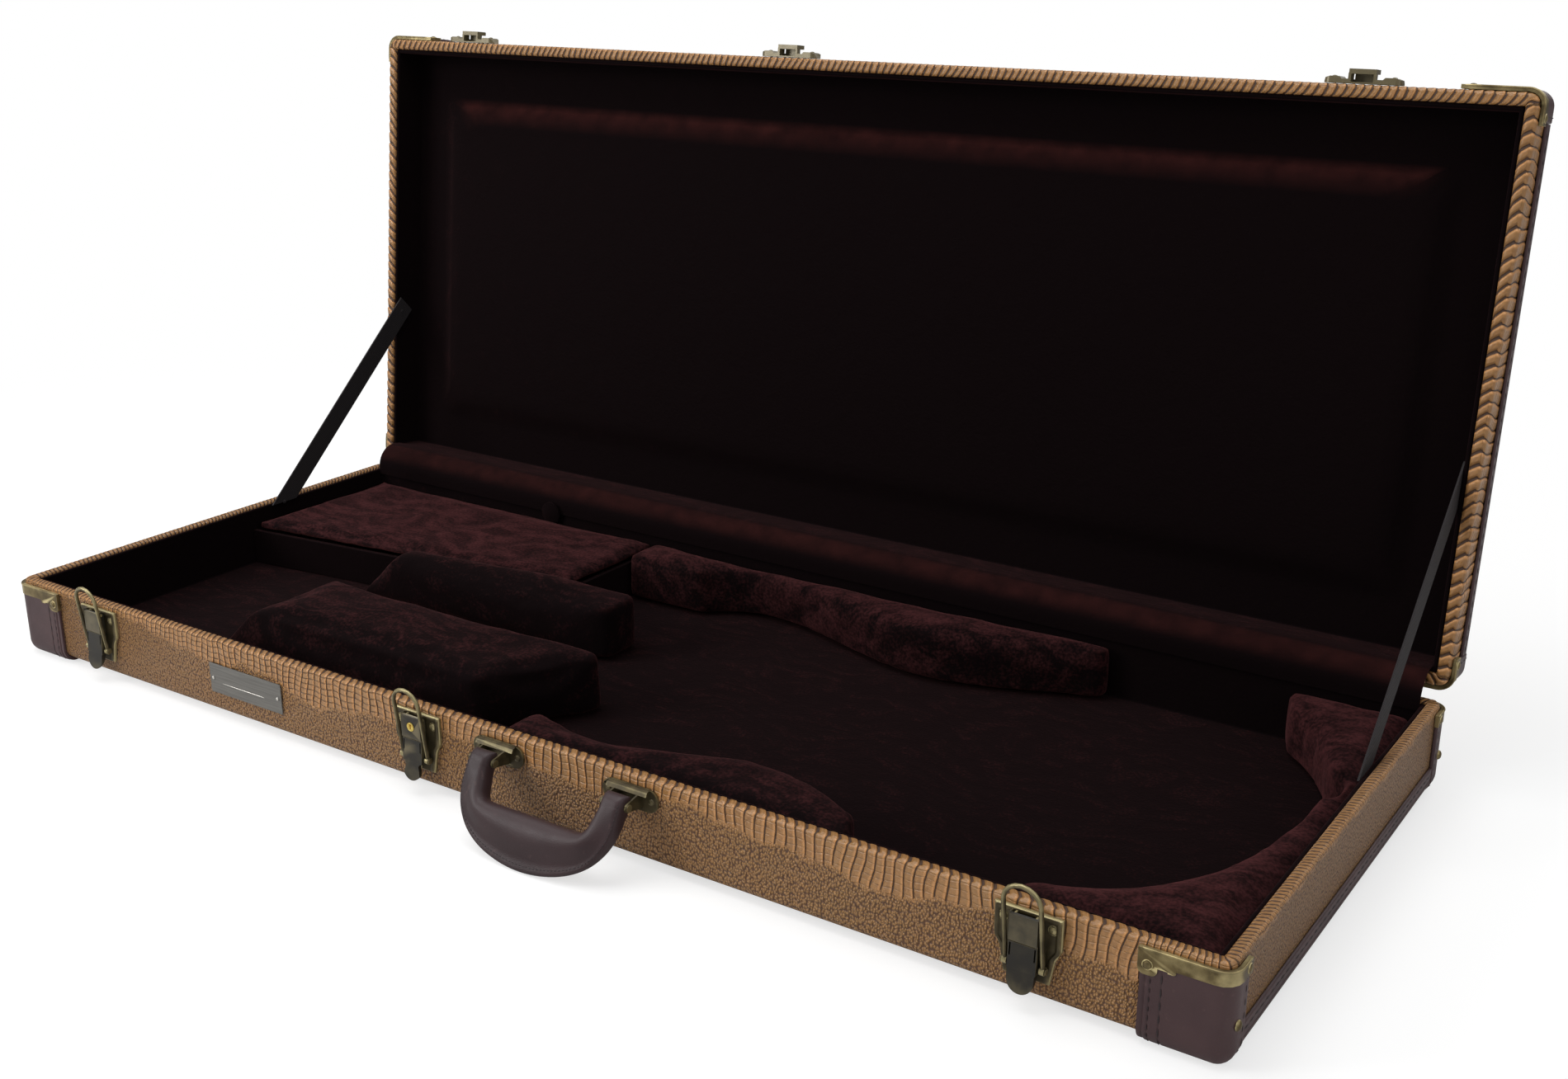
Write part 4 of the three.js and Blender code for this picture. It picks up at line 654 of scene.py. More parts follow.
def on_shell(name, made, shell, material, replaced=(), sharp=50):
    """New object from points and faces in a shell's own frame."""
    points, faces = made
    return piece_from(name, in_case_frame(points, shell), faces, material, shell, replaced, sharp)


def stitch_row(surface, start, end, pitch=8.6):
    """Stitches at even steps on a surface along the run between two of its places."""
    start, end = np.array(start, float), np.array(end, float)
    fine = start + (end - start) * np.linspace(0, 1, 400)[:, None]
    line = surface(fine[:, 0], fine[:, 1])
    travel = np.concatenate([[0], np.cumsum(np.linalg.norm(np.diff(line, axis=0), axis=1))])
    marks = np.arange(pitch / 2, travel[-1], pitch)
    share = np.interp(marks, travel, np.linspace(0, 1, 400))
    spots = start + (end - start) * share[:, None]
    places = surface(spots[:, 0], spots[:, 1])
    ahead = surface(*(spots + (end - start) * 0.002).T) - places
    ways = ahead / np.linalg.norm(ahead, axis=1, keepdims=True)
    turn = np.array([end[1] - start[1], start[0] - end[0]])
    turn = turn / np.linalg.norm(turn) * 0.2
    beside = surface(*(spots + turn).T) - places
    ups = np.cross(ways, beside)
    return places, ways, ups / np.linalg.norm(ups, axis=1, keepdims=True)


def worn_leather(name, low, high, rubbed):
    """Smooth leather with fine creases, in two near tones, lighter where it is rubbed."""
    def recipe(start):
        place = start.node("TexCoord", {}, {}, 3)
        creases = start.node(
            "TexVoronoi", {"feature": "DISTANCE_TO_EDGE"}, {"Vector": place, "Scale": 620.0},
        )
        patch = start.noise(place, 22, 4)
        rub = start.noise(place, 140, 4)
        tone = patch.ramp(0.3, 0.7).mix(low, high)
        tone = rub.ramp(0.62, 0.8).mix(tone, rubbed)
        grainy = creases.ramp(0.0, 0.22) * 0.6 + rub * 0.5
        bump = start.node("Bump", {}, {"Strength": 0.16, "Distance": 0.0004, "Height": grainy})
        return {"Base Color": tone, "Roughness": 0.37 + rub * 0.18, "Normal": bump}
    return finish(name, recipe, Specular_IOR_Level=0.3)


def speckled(name, low, high, scale, detail, bumpy=0.0, **constants):
    """Finish whose tone and, at will, height vary with fine specks."""
    def recipe(start):
        specks = start.noise(start.node("TexCoord", {}, {}, 3), scale, detail)
        inputs = {"Base Color": specks.ramp(0.3, 0.7).mix(low, high)}
        if bumpy:
            settings = {"Strength": bumpy, "Distance": 0.0002, "Height": specks}
            inputs["Normal"] = start.node("Bump", {}, settings)
        return inputs
    return finish(name, recipe, **constants)


leather = worn_leather("dark_leather", colour(62, 43, 45), colour(74, 53, 54), colour(88, 66, 65))
thread = speckled("waxed_thread", colour(22, 14, 16), colour(46, 31, 34), 2400, 2, 0.4, Roughness=0.6)

seam_lines = (3.7, 6.9, 13.6)
binding_lines = (4.5, 9.5)
side_seam = 4.2
fine_seam_drop = 9
for shell, depth in depths.items():
    foot = foot_thickness[shell]
    total_run = depth - rim_radius - edge_radius + rim_run + edge_run
    for end, sign_x in ends.items():
        node = f"{shell}_leather_end_{end}"
        threads, fine_threads = [], []
        for sign_y, side_name in long_sides[shell].items():
            front_run = cap_front - corner_radius + arc_share
            side_run = cap_side - corner_radius + arc_share
            seams = [-front_run + line for line in seam_lines]
            around = np.unique(np.round(np.concatenate([
                np.linspace(-front_run, -arc_share, 22), np.linspace(-arc_share, arc_share, 11),
                np.linspace(arc_share, side_run, 8),
                [-front_run + 0.4, -front_run + 1.0, side_run - 0.4, side_run - 1.0, side_run - side_seam],
                *[[s - 0.9, s - 0.4, s, s + 0.4, s + 0.9] for s in seams],
            ]), 3))
            low_run = total_run + cap_side - edge_radius - 1.0
            run = np.concatenate([
                [cap_top, cap_top + 0.4, cap_top + 1.0],
                np.linspace(cap_top + 3, total_run - edge_run, 12),
                np.linspace(total_run - edge_run, total_run, 9)[1:],
                [total_run + 4, low_run - 1.0, low_run - 0.4, low_run],
            ])
            around_grid, run_grid = np.meshgrid(around, run)

            def cap_surface(around_at, run_at, grow=None):
                proud = leather_seat + leather_thickness if grow is None else grow
                below = leather_seat + foot * (proud - leather_seat) / leather_thickness
                inset, height = section_at(run_at, proud, below, depth)
                x, y = corner_at(around_at, inset)
                return np.stack([x * sign_x, y * -sign_y, height], axis=-1)

            edge = np.minimum.reduce([
                around_grid - around[0], around[-1] - around_grid, run_grid - run[0], run[-1] - run_grid,
            ])
            swell = 0.25 + 0.75 * rounded_edge(edge, 1.1)
            pressed = sum(groove(around_grid - s, 0.45) * d for s, d in zip(seams, (0.7, 0.3, 0.35)))
            pressed = pressed + 0.35 * soft_step(seams[0] - around_grid, 0.0, 0.5)
            grow = leather_seat + leather_thickness * swell - pressed * (edge > 0.5)
            outer = cap_surface(around_grid, run_grid, grow)
            inner = cap_surface(around_grid, run_grid, np.full_like(around_grid, leather_seat))
            name = f"{shell}_leather_cap_{side_name}_{end}"
            on_shell(name, closed_sheet(outer, inner), shell, leather, [node])
            for line in (seams[2], side_run - side_seam):
                threads.append(stitch_row(cap_surface, (line, cap_top + 2), (line, total_run - 2)))
            top, low = (seams[1], cap_top + fine_seam_drop), (seams[1], total_run - 2)
            fine_threads.append(stitch_row(cap_surface, top, low, 6.0))
        reach = half_width - cap_side - 0.2
        low_run = total_run + binding_return - edge_radius
        top_run = depth - binding_rise - rim_radius + rim_run
        across = np.linspace(-reach + 2, reach - 2, 60)
        across = np.concatenate([[-reach, -reach + 0.5], across, [reach - 0.5, reach]])
        lines = [top_run + line for line in binding_lines]
        run = np.unique(np.round(np.concatenate([
            [top_run, top_run + 0.3, top_run + 0.9], np.linspace(top_run + 1.5, low_run - 1.5, 16),
            [low_run - 0.9, low_run - 0.3, low_run],
            *[[s - 1.0, s - 0.45, s, s + 0.45, s + 1.0] for s in lines],
        ]), 3))
        across_grid, run_grid = np.meshgrid(across, run)

        def binding_surface(across_at, run_at, grow=None):
            proud = leather_seat + binding_thickness if grow is None else grow
            inset, height = section_at(run_at, proud, proud, depth)
            return np.stack([(half_length - inset) * sign_x, across_at, height], axis=-1)

        edge = np.minimum(run_grid - run[0], run[-1] - run_grid)
        swell = 0.3 + 0.7 * rounded_edge(edge, 0.9)
        pressed = groove(run_grid - lines[0], 0.4) * 0.25 + groove(run_grid - lines[1], 0.5) * 0.7
        grow = leather_seat + binding_thickness * swell - pressed * (edge > 0.4)
        outer = binding_surface(across_grid, run_grid, grow)
        inner = binding_surface(across_grid, run_grid, np.full_like(across_grid, leather_seat))
        name = f"{shell}_leather_binding_{end}"
        on_shell(name, closed_sheet(outer, inner), shell, leather, [node])
        threads.append(stitch_row(binding_surface, (-reach, lines[0]), (reach, lines[0])))
        fine_stitches = stitch_mesh(fine_threads, length=3.6, width=0.6, proud=0.3)
        stitches = joined([stitch_mesh(threads), fine_stitches])
        on_shell(f"{shell}_leather_stitches_{end}", stitches, shell, thread, sharp=60)


# Brass corners
# Pressed sheet brass over each rim corner, dark in the hollows and bright on its edges, where it is rubbed
# and where a highlight is painted, held by a rivet in its tab and one in its short arm. Each leather cap of
# the base has a brass stud.
def rod(path, radius, sides=10):
    """Points and faces of a round bead along a path, drawn in at both ends."""
    path = np.array(path, float)
    ahead = np.gradient(path, axis=0)
    ahead /= np.linalg.norm(ahead, axis=1, keepdims=True)
    side = np.cross(ahead, (0.0, 0.0, 1.0))
    side /= np.linalg.norm(side, axis=1, keepdims=True)
    up = np.cross(side, ahead)
    swell = np.ones(len(path))
    swell[[0, -1]], swell[[1, -2]] = 0.3, 0.85
    angle = np.linspace(0, 2 * math.pi, sides, endpoint=False)
    ring = side[:, None] * np.cos(angle)[:, None] + up[:, None] * np.sin(angle)[:, None]
    points = path[:, None] + ring * (radius * swell)[:, None, None]
    return points.reshape(-1, 3), tube_faces(len(path), sides)


def turned_head(profile, centre, axis, sides=24):
    """Points and faces of a turned head on a face, from pairs of radius and rise."""
    axis = np.array(axis, float)
    side = np.cross(axis, (0, 0, 1)) if abs(axis[2]) < 0.9 else np.cross(axis, (1, 0, 0))
    side = side / np.linalg.norm(side)
    other = np.cross(axis, side)
    angle = np.linspace(0, 2 * math.pi, sides, endpoint=False)
    ring = np.cos(angle)[:, None] * side + np.sin(angle)[:, None] * other
    points = np.array([np.array(centre) + ring * radius + axis * rise for radius, rise in profile])
    return points.reshape(-1, 3), tube_faces(len(profile), sides)


def aged_brass(name, hollow, face, edge, metallic):
    """Brass with dark patina in its hollows and bright metal on its edges, partly rubbed wear and partly a
    painted highlight.
    """
    def recipe(start):
        place = start.node("TexCoord", {}, {}, 3)
        edges = start.node("NewGeometry", {}, {}, 7)
        stain = start.noise(place, 110, 5)
        haze = start.noise(place, 700, 2)
        # Edges are painted bright, partly as rubbed metal and partly as a painted highlight.
        rubbed = (edges + (stain - 0.5) * 0.05).ramp(0.53, 0.6)
        tone = stain.ramp(0.35, 0.68).mix(hollow, face)
        tone = rubbed.mix(tone, edge)
        bump = start.node("Bump", {}, {"Strength": 0.06, "Distance": 0.0002, "Height": haze})
        rough = 0.46 - rubbed * 0.14 + (stain - 0.5) * 0.24
        return {"Base Color": tone, "Roughness": rough, "Normal": bump}
    return finish(name, recipe, Metallic=metallic)


brass = aged_brass("antique_brass", colour(86, 73, 48), colour(116, 101, 67), colour(204, 188, 138), 0.8)
bronze = aged_brass("dark_bronze", colour(28, 24, 16), colour(40, 35, 24), colour(108, 98, 72), 0.25)
dark_brass = aged_brass("dark_brass", colour(60, 52, 34), colour(84, 74, 50), colour(158, 146, 106), 0.6)

brass_proud = 3.4
brass_drop = 3.7
brass_height = 9.2
brass_front_arm = 54.0
brass_side_arm = 22.0
tab_rivet = (48.0, 13.7)
arm_rivet = 16.8
bead_radius = 0.85
bead_inset = 0.6
bead_drop = 0.5
rivet_ring = ((3.3, -0.2), (3.3, 0.2), (3.1, 0.4), (2.8, 0.4), (2.5, 0.15))
stud_profile = ((3.5, -0.4), (3.5, 0.2), (3.2, 0.9), (2.6, 1.5), (1.8, 1.95), (0.9, 2.15))
stud_place = (7.5, 24.0)

for shell, depth in depths.items():
    for sign_y, side_name in long_sides[shell].items():
        for end, sign_x in ends.items():
            node = f"{shell}_brass_corner_{side_name}_{end}"
            copy_of(node, node.replace("corner", "cover"), brass, 0.0003)
            around = np.concatenate([
                np.linspace(corner_radius - brass_front_arm - arc_share, -arc_share, 12),
                np.linspace(-arc_share, arc_share, 11)[1:],
                np.linspace(arc_share, brass_side_arm - corner_radius + arc_share, 6)[1:],
            ])
            x, y = corner_at(around, np.full_like(around, bead_inset - brass_proud))
            path = np.column_stack([x * sign_x, y * -sign_y, np.full_like(x, -brass_drop - bead_drop)])
            on_tab = (
                sign_x * (half_length - tab_rivet[0]), sign_y * (half_width + brass_proud), -tab_rivet[1],
            )
            on_arm = (
                sign_x * (half_length + brass_proud), sign_y * (half_width - arm_rivet),
                -brass_drop - brass_height / 2,
            )
            bead = joined([
                rod(path, bead_radius), turned_head(rivet_ring, on_tab, (0, sign_y, 0)),
                turned_head(rivet_ring, on_arm, (sign_x, 0, 0)),
            ])
            on_shell(f"{shell}_brass_bead_{side_name}_{end}", bead, shell, brass)
            if shell == "base":
                on_cap = (
                    sign_x * (half_length + leather_seat + leather_thickness),
                    sign_y * (half_width - stud_place[0]), stud_place[1] - depth,
                )
                stud = turned_head(stud_profile, on_cap, (sign_x, 0, 0))
                on_shell(f"base_corner_stud_{side_name}_{end}", stud, shell, brass)


# Plush lining
# Short pile plush glued to boards that stand inside the walls and to the padded floor. The pile
# lies in brushed streaks. A flap of it covers the hinges.
def plush_recipe(start):
    place = start.node("TexCoord", {}, {}, 3)
    # Each piece carries an amount of painted light and shade that lightens or darkens its pile.
    painted_shading = start.node("Attribute", {"attribute_name": "painted_shading", "attribute_type": "OBJECT"}, {}, 2)
    # A painted sheen: the pile's colour is made lighter where the surface is seen at a grazing angle.
    painted_sheen = start.node("LayerWeight", {}, {"Blend": 0.5}, 1)
    warp = start.noise(place, 9, 2, 1)
    pull = (0.12, 0.12, 0.12)
    bent = start.node("VectorMath", {"operation": "MULTIPLY_ADD"}, {0: warp, 1: pull, 2: place})
    drawn = start.node("VectorMath", {"operation": "MULTIPLY"}, {0: bent, 1: (34, 95, 70)})
    crushed = start.noise(drawn, 1.0, 6)
    mottle = start.noise(place, 60, 5)
    fuzz = start.noise(place, 430, 4)
    # Painted highlight: convex edges of the pile are painted lighter, as much as the piece's weight asks.
    edge_highlight_weight = start.node("Attribute", {"attribute_name": "edge_highlight_weight", "attribute_type": "OBJECT"}, {}, 2)
    ridge = start.node("NewGeometry", {}, {}, 7).ramp(0.515, 0.58) * edge_highlight_weight
    # Painted highlight on the strips that a piece marks as lit.
    lit = start.node("Attribute", {"attribute_name": "lit"}, {}, 2) * (mottle * 1.4)
    swirl = (crushed.ramp(0.34, 0.66) - 0.5) * 0.26 + (mottle - 0.5) * 0.26
    # The pile's tone sums its crushed streaks and fuzz with the painted sheen and each piece's painted light
    # and shade.
    pile_tone_and_painted_light = swirl + (fuzz.ramp(0.3, 0.7) - 0.5) * 0.28 + painted_sheen * 0.42 + painted_shading
    tone = pile_tone_and_painted_light.ramp(0.0, 1.0).mix(colour(11, 5, 6), colour(78, 41, 42))
    # Painted highlight colour, mixed in on the edges and the marked strips.
    tone = (ridge * (0.5 + mottle * 0.8) + lit).mix(tone, colour(96, 48, 44))
    height = fuzz * 0.5 + mottle * 0.7 + crushed * 0.8
    bump = start.node("Bump", {}, {"Strength": 0.5, "Distance": 0.0014, "Height": height})
    return {"Base Color": tone, "Normal": bump}


plush = finish(
    "maroon_plush", plush_recipe, Roughness=0.95, Specular_IOR_Level=0.05,
    Sheen_Weight=0.15, Sheen_Roughness=0.4, Sheen_Tint=colour(140, 90, 90),
)

# Painted light and shade on the pile of each piece: above zero it is painted lighter, below zero darker
painted_shading = {
    "base_lining": -0.26, "lid_lining": -0.28, "hinge_cover": -0.3, "accessory_box_walls": -0.3,
    "accessory_box_lid": 0.1, "neck_block_front": -0.1, "neck_block_rear": -0.14,
    "body_pad_front": -0.04, "body_pad_right": 0.16, "body_pad_rear": 0.12,
}


def plush_copy(node, name, bevel, segments=2, sharp=35, rides=True):
    """Copy of a CAD node in plush, with its own painted light and shade."""
    piece = copy_of(node, name, plush, bevel, segments, sharp, rides)
    piece["painted_shading"] = painted_shading[node]
    return piece


plush_copy("base_lining", "base_plush_lining", 0.0013, 3)
lid_lining = plush_copy("lid_lining", "lid_plush_lining", 0.0013, 3)
cover_start = (0, 0.1976, 0.0644)
cover_end = (0, 0.2198, 0.0836)
hinge_cover = plush_copy("hinge_cover", "hinge_plush_cover", 0, 1, 60, False)
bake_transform(hinge_cover, "base", "lid", start=cover_start, end=cover_end)


def paint_pile_highlight(piece, shares):
    """Paints a highlight into the pile of a piece, by shares that depend on places in millimetres."""
    places = np.array([vertex.co for vertex in piece.data.vertices]) * 1000
    marks = piece.data.attributes.new("lit", "FLOAT", "POINT")
    marks.data.foreach_set("value", np.asarray(shares(places), np.float32))


pad_edge_height = 426.0
pad_edge_half = 480.0
cover_lit_above = (70, 80)
cover_lit_until = (211, 218)
# A painted highlight along the top edge of the lid's padded panel and a painted lit strip on the upper part
# of the hinge flap.
paint_pile_highlight(lid_lining, lambda at: (
    0.42 * groove(at[:, 2] - pad_edge_height, 5.0) * soft_step(pad_edge_half - np.abs(at[:, 0]), 0, 25)
))
paint_pile_highlight(hinge_cover, lambda at: (
    0.18 * soft_step(at[:, 2], *cover_lit_above) * (1 - soft_step(at[:, 1], *cover_lit_until))
))
plush_copy("accessory_box_walls", "accessory_box_plush_walls", 0.001)


# Box lid, neck blocks and body pads
# Foam blocks covered in the same plush and glued to the floor, which leave a fitted hollow between
# them. The storage box is shut by a soft lid with a pull tab.
cloth_frames = 16
cloth_pressure = 4.0
glued_height = 0.004
box_lid_level = 0.0529
dents_per_metre = 26


def remeshed(piece, voxel, passes):
    """The piece gets one even skin of small quads."""
    skin = piece.modifiers.new("skin", "REMESH")
    skin.mode = "VOXEL"
    skin.voxel_size = voxel
    apply_modifiers(piece)
    even = piece.modifiers.new("even", "SMOOTH")
    even.iterations = passes
    apply_modifiers(piece)


def of_points(piece, what):
    """Places ("co") or normals ("normal") of the points of a piece."""
    flat = np.empty(len(piece.data.vertices) * 3, np.float32)
    piece.data.vertices.foreach_get(what, flat)
    return flat.reshape(-1, 3)


def set_places(piece, places):
    piece.data.vertices.foreach_set("co", np.asarray(places, np.float32).ravel())
    piece.data.update()


def blown_up(piece, drawn_in, cap):
    """The skin is drawn in, blown up as cloth with its foot glued down, and kept within the cap."""
    start = of_points(piece, "co") - of_points(piece, "normal") * drawn_in
    set_places(piece, start)
    foot = np.flatnonzero(start[:, 2] < start[:, 2].min() + glued_height)
    piece.vertex_groups.new(name="glued").add(foot.tolist(), 1.0, "REPLACE")
    cover = piece.modifiers.new("cover", "CLOTH")
    cover.settings.quality = 4
    cover.settings.mass = 0.25
    cover.settings.bending_stiffness = 0.4
    cover.settings.vertex_group_mass = "glued"
    cover.settings.use_pressure = True
    cover.settings.uniform_pressure_force = cloth_pressure
    cover.settings.effector_weights.gravity = 0
    cover.point_cache.frame_start = 1
    cover.point_cache.frame_end = cloth_frames
    for number in range(1, cloth_frames + 1):
        bpy.context.scene.frame_set(number)
    apply_modifiers(piece)
    bpy.context.scene.frame_set(1)
    moved = of_points(piece, "co") - start
    length = np.linalg.norm(moved, axis=1, keepdims=True)
    set_places(piece, start + moved * np.minimum(1, cap / np.maximum(length, 1e-9)))


def crumpled(piece, depth):
    """Small uneven dents in the cover, the same at every run."""
    places = of_points(piece, "co")
    dents = [noise.fractal(Vector(place) * dents_per_metre, 1.0, 2.0, 3) for place in places]
    set_places(piece, places + of_points(piece, "normal") * (np.array(dents)[:, None] - 0.4) * depth)


def cut_level(piece, height):
    """Takes off what stands above a height and closes the cut. Gives the middle of what stood there."""
    high = np.array([vertex.co for vertex in piece.data.vertices if vertex.co.z > height + 0.001])
    work = bmesh.new()
    work.from_mesh(piece.data)
    cut = bmesh.ops.bisect_plane(
        work, geom=[*work.verts, *work.edges, *work.faces], plane_co=(0, 0, height), plane_no=(0, 0, 1),
        clear_outer=True,
    )
    rim = [item for item in cut["geom_cut"] if isinstance(item, bmesh.types.BMEdge)]
    bmesh.ops.holes_fill(work, edges=rim)
    work.to_mesh(piece.data)
    work.free()
    return (high.min(axis=0) + high.max(axis=0)) / 2


def stuffed(node, name, voxel, drawn_in, cap, level=None):
    """Soft cover of a foam block. What stands above the level, a hard tab, is left off."""
    piece = plush_copy(node, name, 0.0, 1, 60)
    if level:
        piece["tab"] = cut_level(piece, level).tolist()
    remeshed(piece, voxel * (1), 4)
    blown_up(piece, drawn_in, cap)
    crumpled(piece, 0.0009)
    smoother = piece.modifiers.new("even", "SMOOTH")
    smoother.iterations = 2
    finer = piece.modifiers.new("finer", "SUBSURF")
    finer.levels = 1
    apply_modifiers(piece)
    mesh = piece.data
    mesh.materials.clear()
    mesh.materials.append(plush)
    mesh.polygons.foreach_set("use_smooth", [True] * len(mesh.polygons))
    # The soft covers get the painted highlight on their rounded edges.
    piece["edge_highlight_weight"] = 0.6
    return piece


for node in ("neck_block_front", "neck_block_rear", "body_pad_front", "body_pad_right", "body_pad_rear"):
    name = node.replace("block", "cradle").replace("pad", "cushion")
    stuffed(node, name, voxel=0.0045, drawn_in=0.002, cap=0.003)
box_lid = stuffed(
    "accessory_box_lid", "accessory_box_soft_lid", voxel=0.0035, drawn_in=0.0015, cap=0.002,
    level=box_lid_level,
)

tab_radius = 11.0
tab_height = 58.0
tab_profile = ((10.4, -1.0), (tab_radius, -0.5), (tab_radius, 0.5), (10.4, 1.0))
tab_x, tab_y, _ = (value * 1000 for value in box_lid["tab"])
points, faces = turned_head(tab_profile, (tab_x, tab_y, tab_height), (0, 1, 0), 32)
pull_tab = piece_from("accessory_box_pull_tab", points, faces, plush, "box_lid", [], 50)
# The pull tab's pile is painted darker, as painted shade.
pull_tab["painted_shading"] = -0.4


# Draw latches and hinges
# Antique brass plates with a pin through two ears, a folded lever that turns on it and a wire bail
# on the lever's cross pin. The middle one locks. The hinges' leaves are of the same brass.
latch_parts = {
    "latch_plate": (dark_brass, 0.0002), "latch_lever": (bronze, 0.0004),
    "latch_cross_pin": (dark_brass, 0.0001), "latch_bail": (dark_brass, 0), "lid_catch": (bronze, 0.0002),
    "hinge_base_leaf": (dark_brass, 0.0002), "hinge_lid_leaf": (dark_brass, 0.0002),
}
latch_places = {"left": -437.0, "centre": -68.0, "right": 423.0}
for side in latch_places:
    for part, (metal, bevel) in latch_parts.items():
        sharp = 28 if bevel else 60
        copy_of(f"{part}_{side}", f"{part}_finished_{side}", metal, bevel, sharp=sharp)

plate_low = 14.5
plate_top = 59.5
plate_seat = 0.3
waist_height = 31
shoulder_height = 39
plate_rows = np.concatenate([
    [plate_low, 14.75, 15.2, 16.0], np.linspace(18, waist_height, 8),
    np.linspace(waist_height + 1, shoulder_height, 8), [43, 48, 53],
    plate_top - np.array([4.6, 4.0, 3.5, 3.0, 2.3, 1.5, 0.8, 0.3, 0.0]),
])
edge_steps = np.array([0.0, 0.3, 0.8, 1.5, 2.3, 3.0, 3.5, 4.0, 4.6, 5.6])
bead_line = np.array((
    (0, 0.3), (0.3, 1.9), (0.8, 2.9), (1.5, 3.5), (2.3, 3.6), (3.0, 3.3), (3.5, 2.8), (4.0, 2.55),
    (4.6, 2.45),
))
foot_half = 15.0
waist_half = 18.0
shoulder_half = 22.0
plate_rivets = ((-16.0, 51.5), (16.0, 51.5))


def pressed_plate():
    """Latch plate with a raised border along its sides and top, in the wall's plane."""
    share = np.clip((plate_rows - plate_low) / (waist_height - plate_low), 0, 1)
    taper = foot_half + (waist_half - foot_half) * share
    half = taper + (shoulder_half - waist_half) * soft_step(plate_rows, waist_height, shoulder_height)
    rows = []
    for z, edge in zip(plate_rows, half):
        inset = np.concatenate([edge_steps, np.linspace(edge_steps[-1], edge, 5)[1:]])
        from_side = np.concatenate([inset, inset[-2::-1]])
        x = np.concatenate([inset - edge, edge - inset[-2::-1]])
        rise = np.interp(np.minimum(from_side, plate_top - z), *bead_line.T)
        rise = np.minimum(rise, plate_seat + 2.9 * rounded_edge(z - plate_low, 1.2))
        rows.append(np.column_stack([x, -half_width - rise, np.full_like(x, z)]))
    outer = np.array(rows)
    inner = outer.copy()
    inner[..., 1] = -half_width - plate_seat
    return closed_sheet(outer, inner)


for side, place in latch_places.items():
    rings = [turned_head(rivet_ring, (x, -half_width - 2.3, z), (0, -1, 0)) for x, z in plate_rivets]
    points, faces = joined([pressed_plate(), *rings])
    points = points + (place, 0, 0)
    piece_from(f"latch_plate_border_{side}", points, faces, dark_brass, "base")


def lock_recipe(start):
    stain = start.noise(start.node("TexCoord", {}, {}, 3), 700, 4)
    tone = stain.ramp(0.3, 0.7).mix(colour(190, 160, 70), colour(232, 208, 122))
    return {"Base Color": tone, "Roughness": 0.24 + stain * 0.2}


lock_brass = finish("bright_brass", lock_recipe, Metallic=1.0)
copy_of("lock_cylinder", "lock_key_plug", lock_brass, 0.0002)


# Handle
# A leather grip folded over a soft core, wrapped round two pins at its ends and sewn to a flat lip
# along its outer edge. The brackets are brass.
for side in ("left", "right"):
    copy_of(f"handle_bracket_{side}", f"handle_bracket_finished_{side}", dark_brass, 0.0002)

handle_place = np.array((69.6, -half_width - 17.0, 48.5))
handle_tilt = math.radians(-34)
handle_half = 59.0
handle_eye = 7.5
eye_half = 9.0
leg_half = 10.5
leg_thickness = 14.0
grip_thickness = 18.0
outer_drop = 62.0
inner_drop = 25.0
lip_seam = 0.89
outer_shares = ((0.975, 0.32), (0.9, 0.56), (0.745, 0.765), (0.5, 0.915), (0.17, 1.0))
inner_shares = ((0.985, 0.56), (0.94, 0.85), (0.84, 0.98), (0.55, 1.0), (0.18, 1.0))
grip_shares = (
    (0, 0), (0.015, 0.32), (0.06, 0.64), (0.13, 0.86), (0.22, 0.97), (0.32, 1.0), (0.44, 0.92),
    (0.55, 0.75), (0.65, 0.55), (0.73, 0.4), (0.8, 0.31), (0.87, 0.28), (0.94, 0.26), (0.985, 0.2), (1, 0),
)


def smooth_through(points, steps):
    """Catmull-Rom curve through points, with a number of steps for each span."""
    points = np.array(points, float)
    ends = np.concatenate([[2 * points[0] - points[1]], points, [2 * points[-1] - points[-2]]])
    curve = []
    for i in range(1, len(ends) - 2):
        p0, p1, p2, p3 = ends[i - 1:i + 3]
        for t in np.arange(steps) / steps:
            curve.append(0.5 * (2 * p1 + (p2 - p0) * t + (2 * p0 - 5 * p1 + 4 * p2 - p3) * t ** 2
                                + (3 * p1 - p0 - 3 * p2 + p3) * t ** 3))
    return np.array(curve + [points[-1]])


def handle_stations():
    """Inner and outer edge of the handle, its thickness and how far it is grip, end to end."""
    rows = []
    for angle in (90, 78, 62, 42, 20, 0, -20, -42):
        z = handle_eye * math.sin(math.radians(angle))
        swell = max(math.cos(math.radians(angle)), 0.02) if angle > 0 else 1.0
        rows.append((handle_half - eye_half, z, handle_half + eye_half, z, 2 * handle_eye * swell, 0))
    for number, ((ox, oz), (ix, iz)) in enumerate(zip(outer_shares, inner_shares)):
        share = min((number + 1) / 3, 1)
        thick = leg_thickness + (grip_thickness - leg_thickness) * share
        rows.append((
            ix * (handle_half - leg_half), -iz * inner_drop,
            ox * (handle_half + leg_half), -oz * outer_drop, thick, share,
        ))
    mirror = [(-ix, iz, -ox, oz, thick, share) for ix, iz, ox, oz, thick, share in reversed(rows)]
    return smooth_through(rows + mirror, 6)


stations = handle_stations()
grip_line = smooth_through(grip_shares, 3)


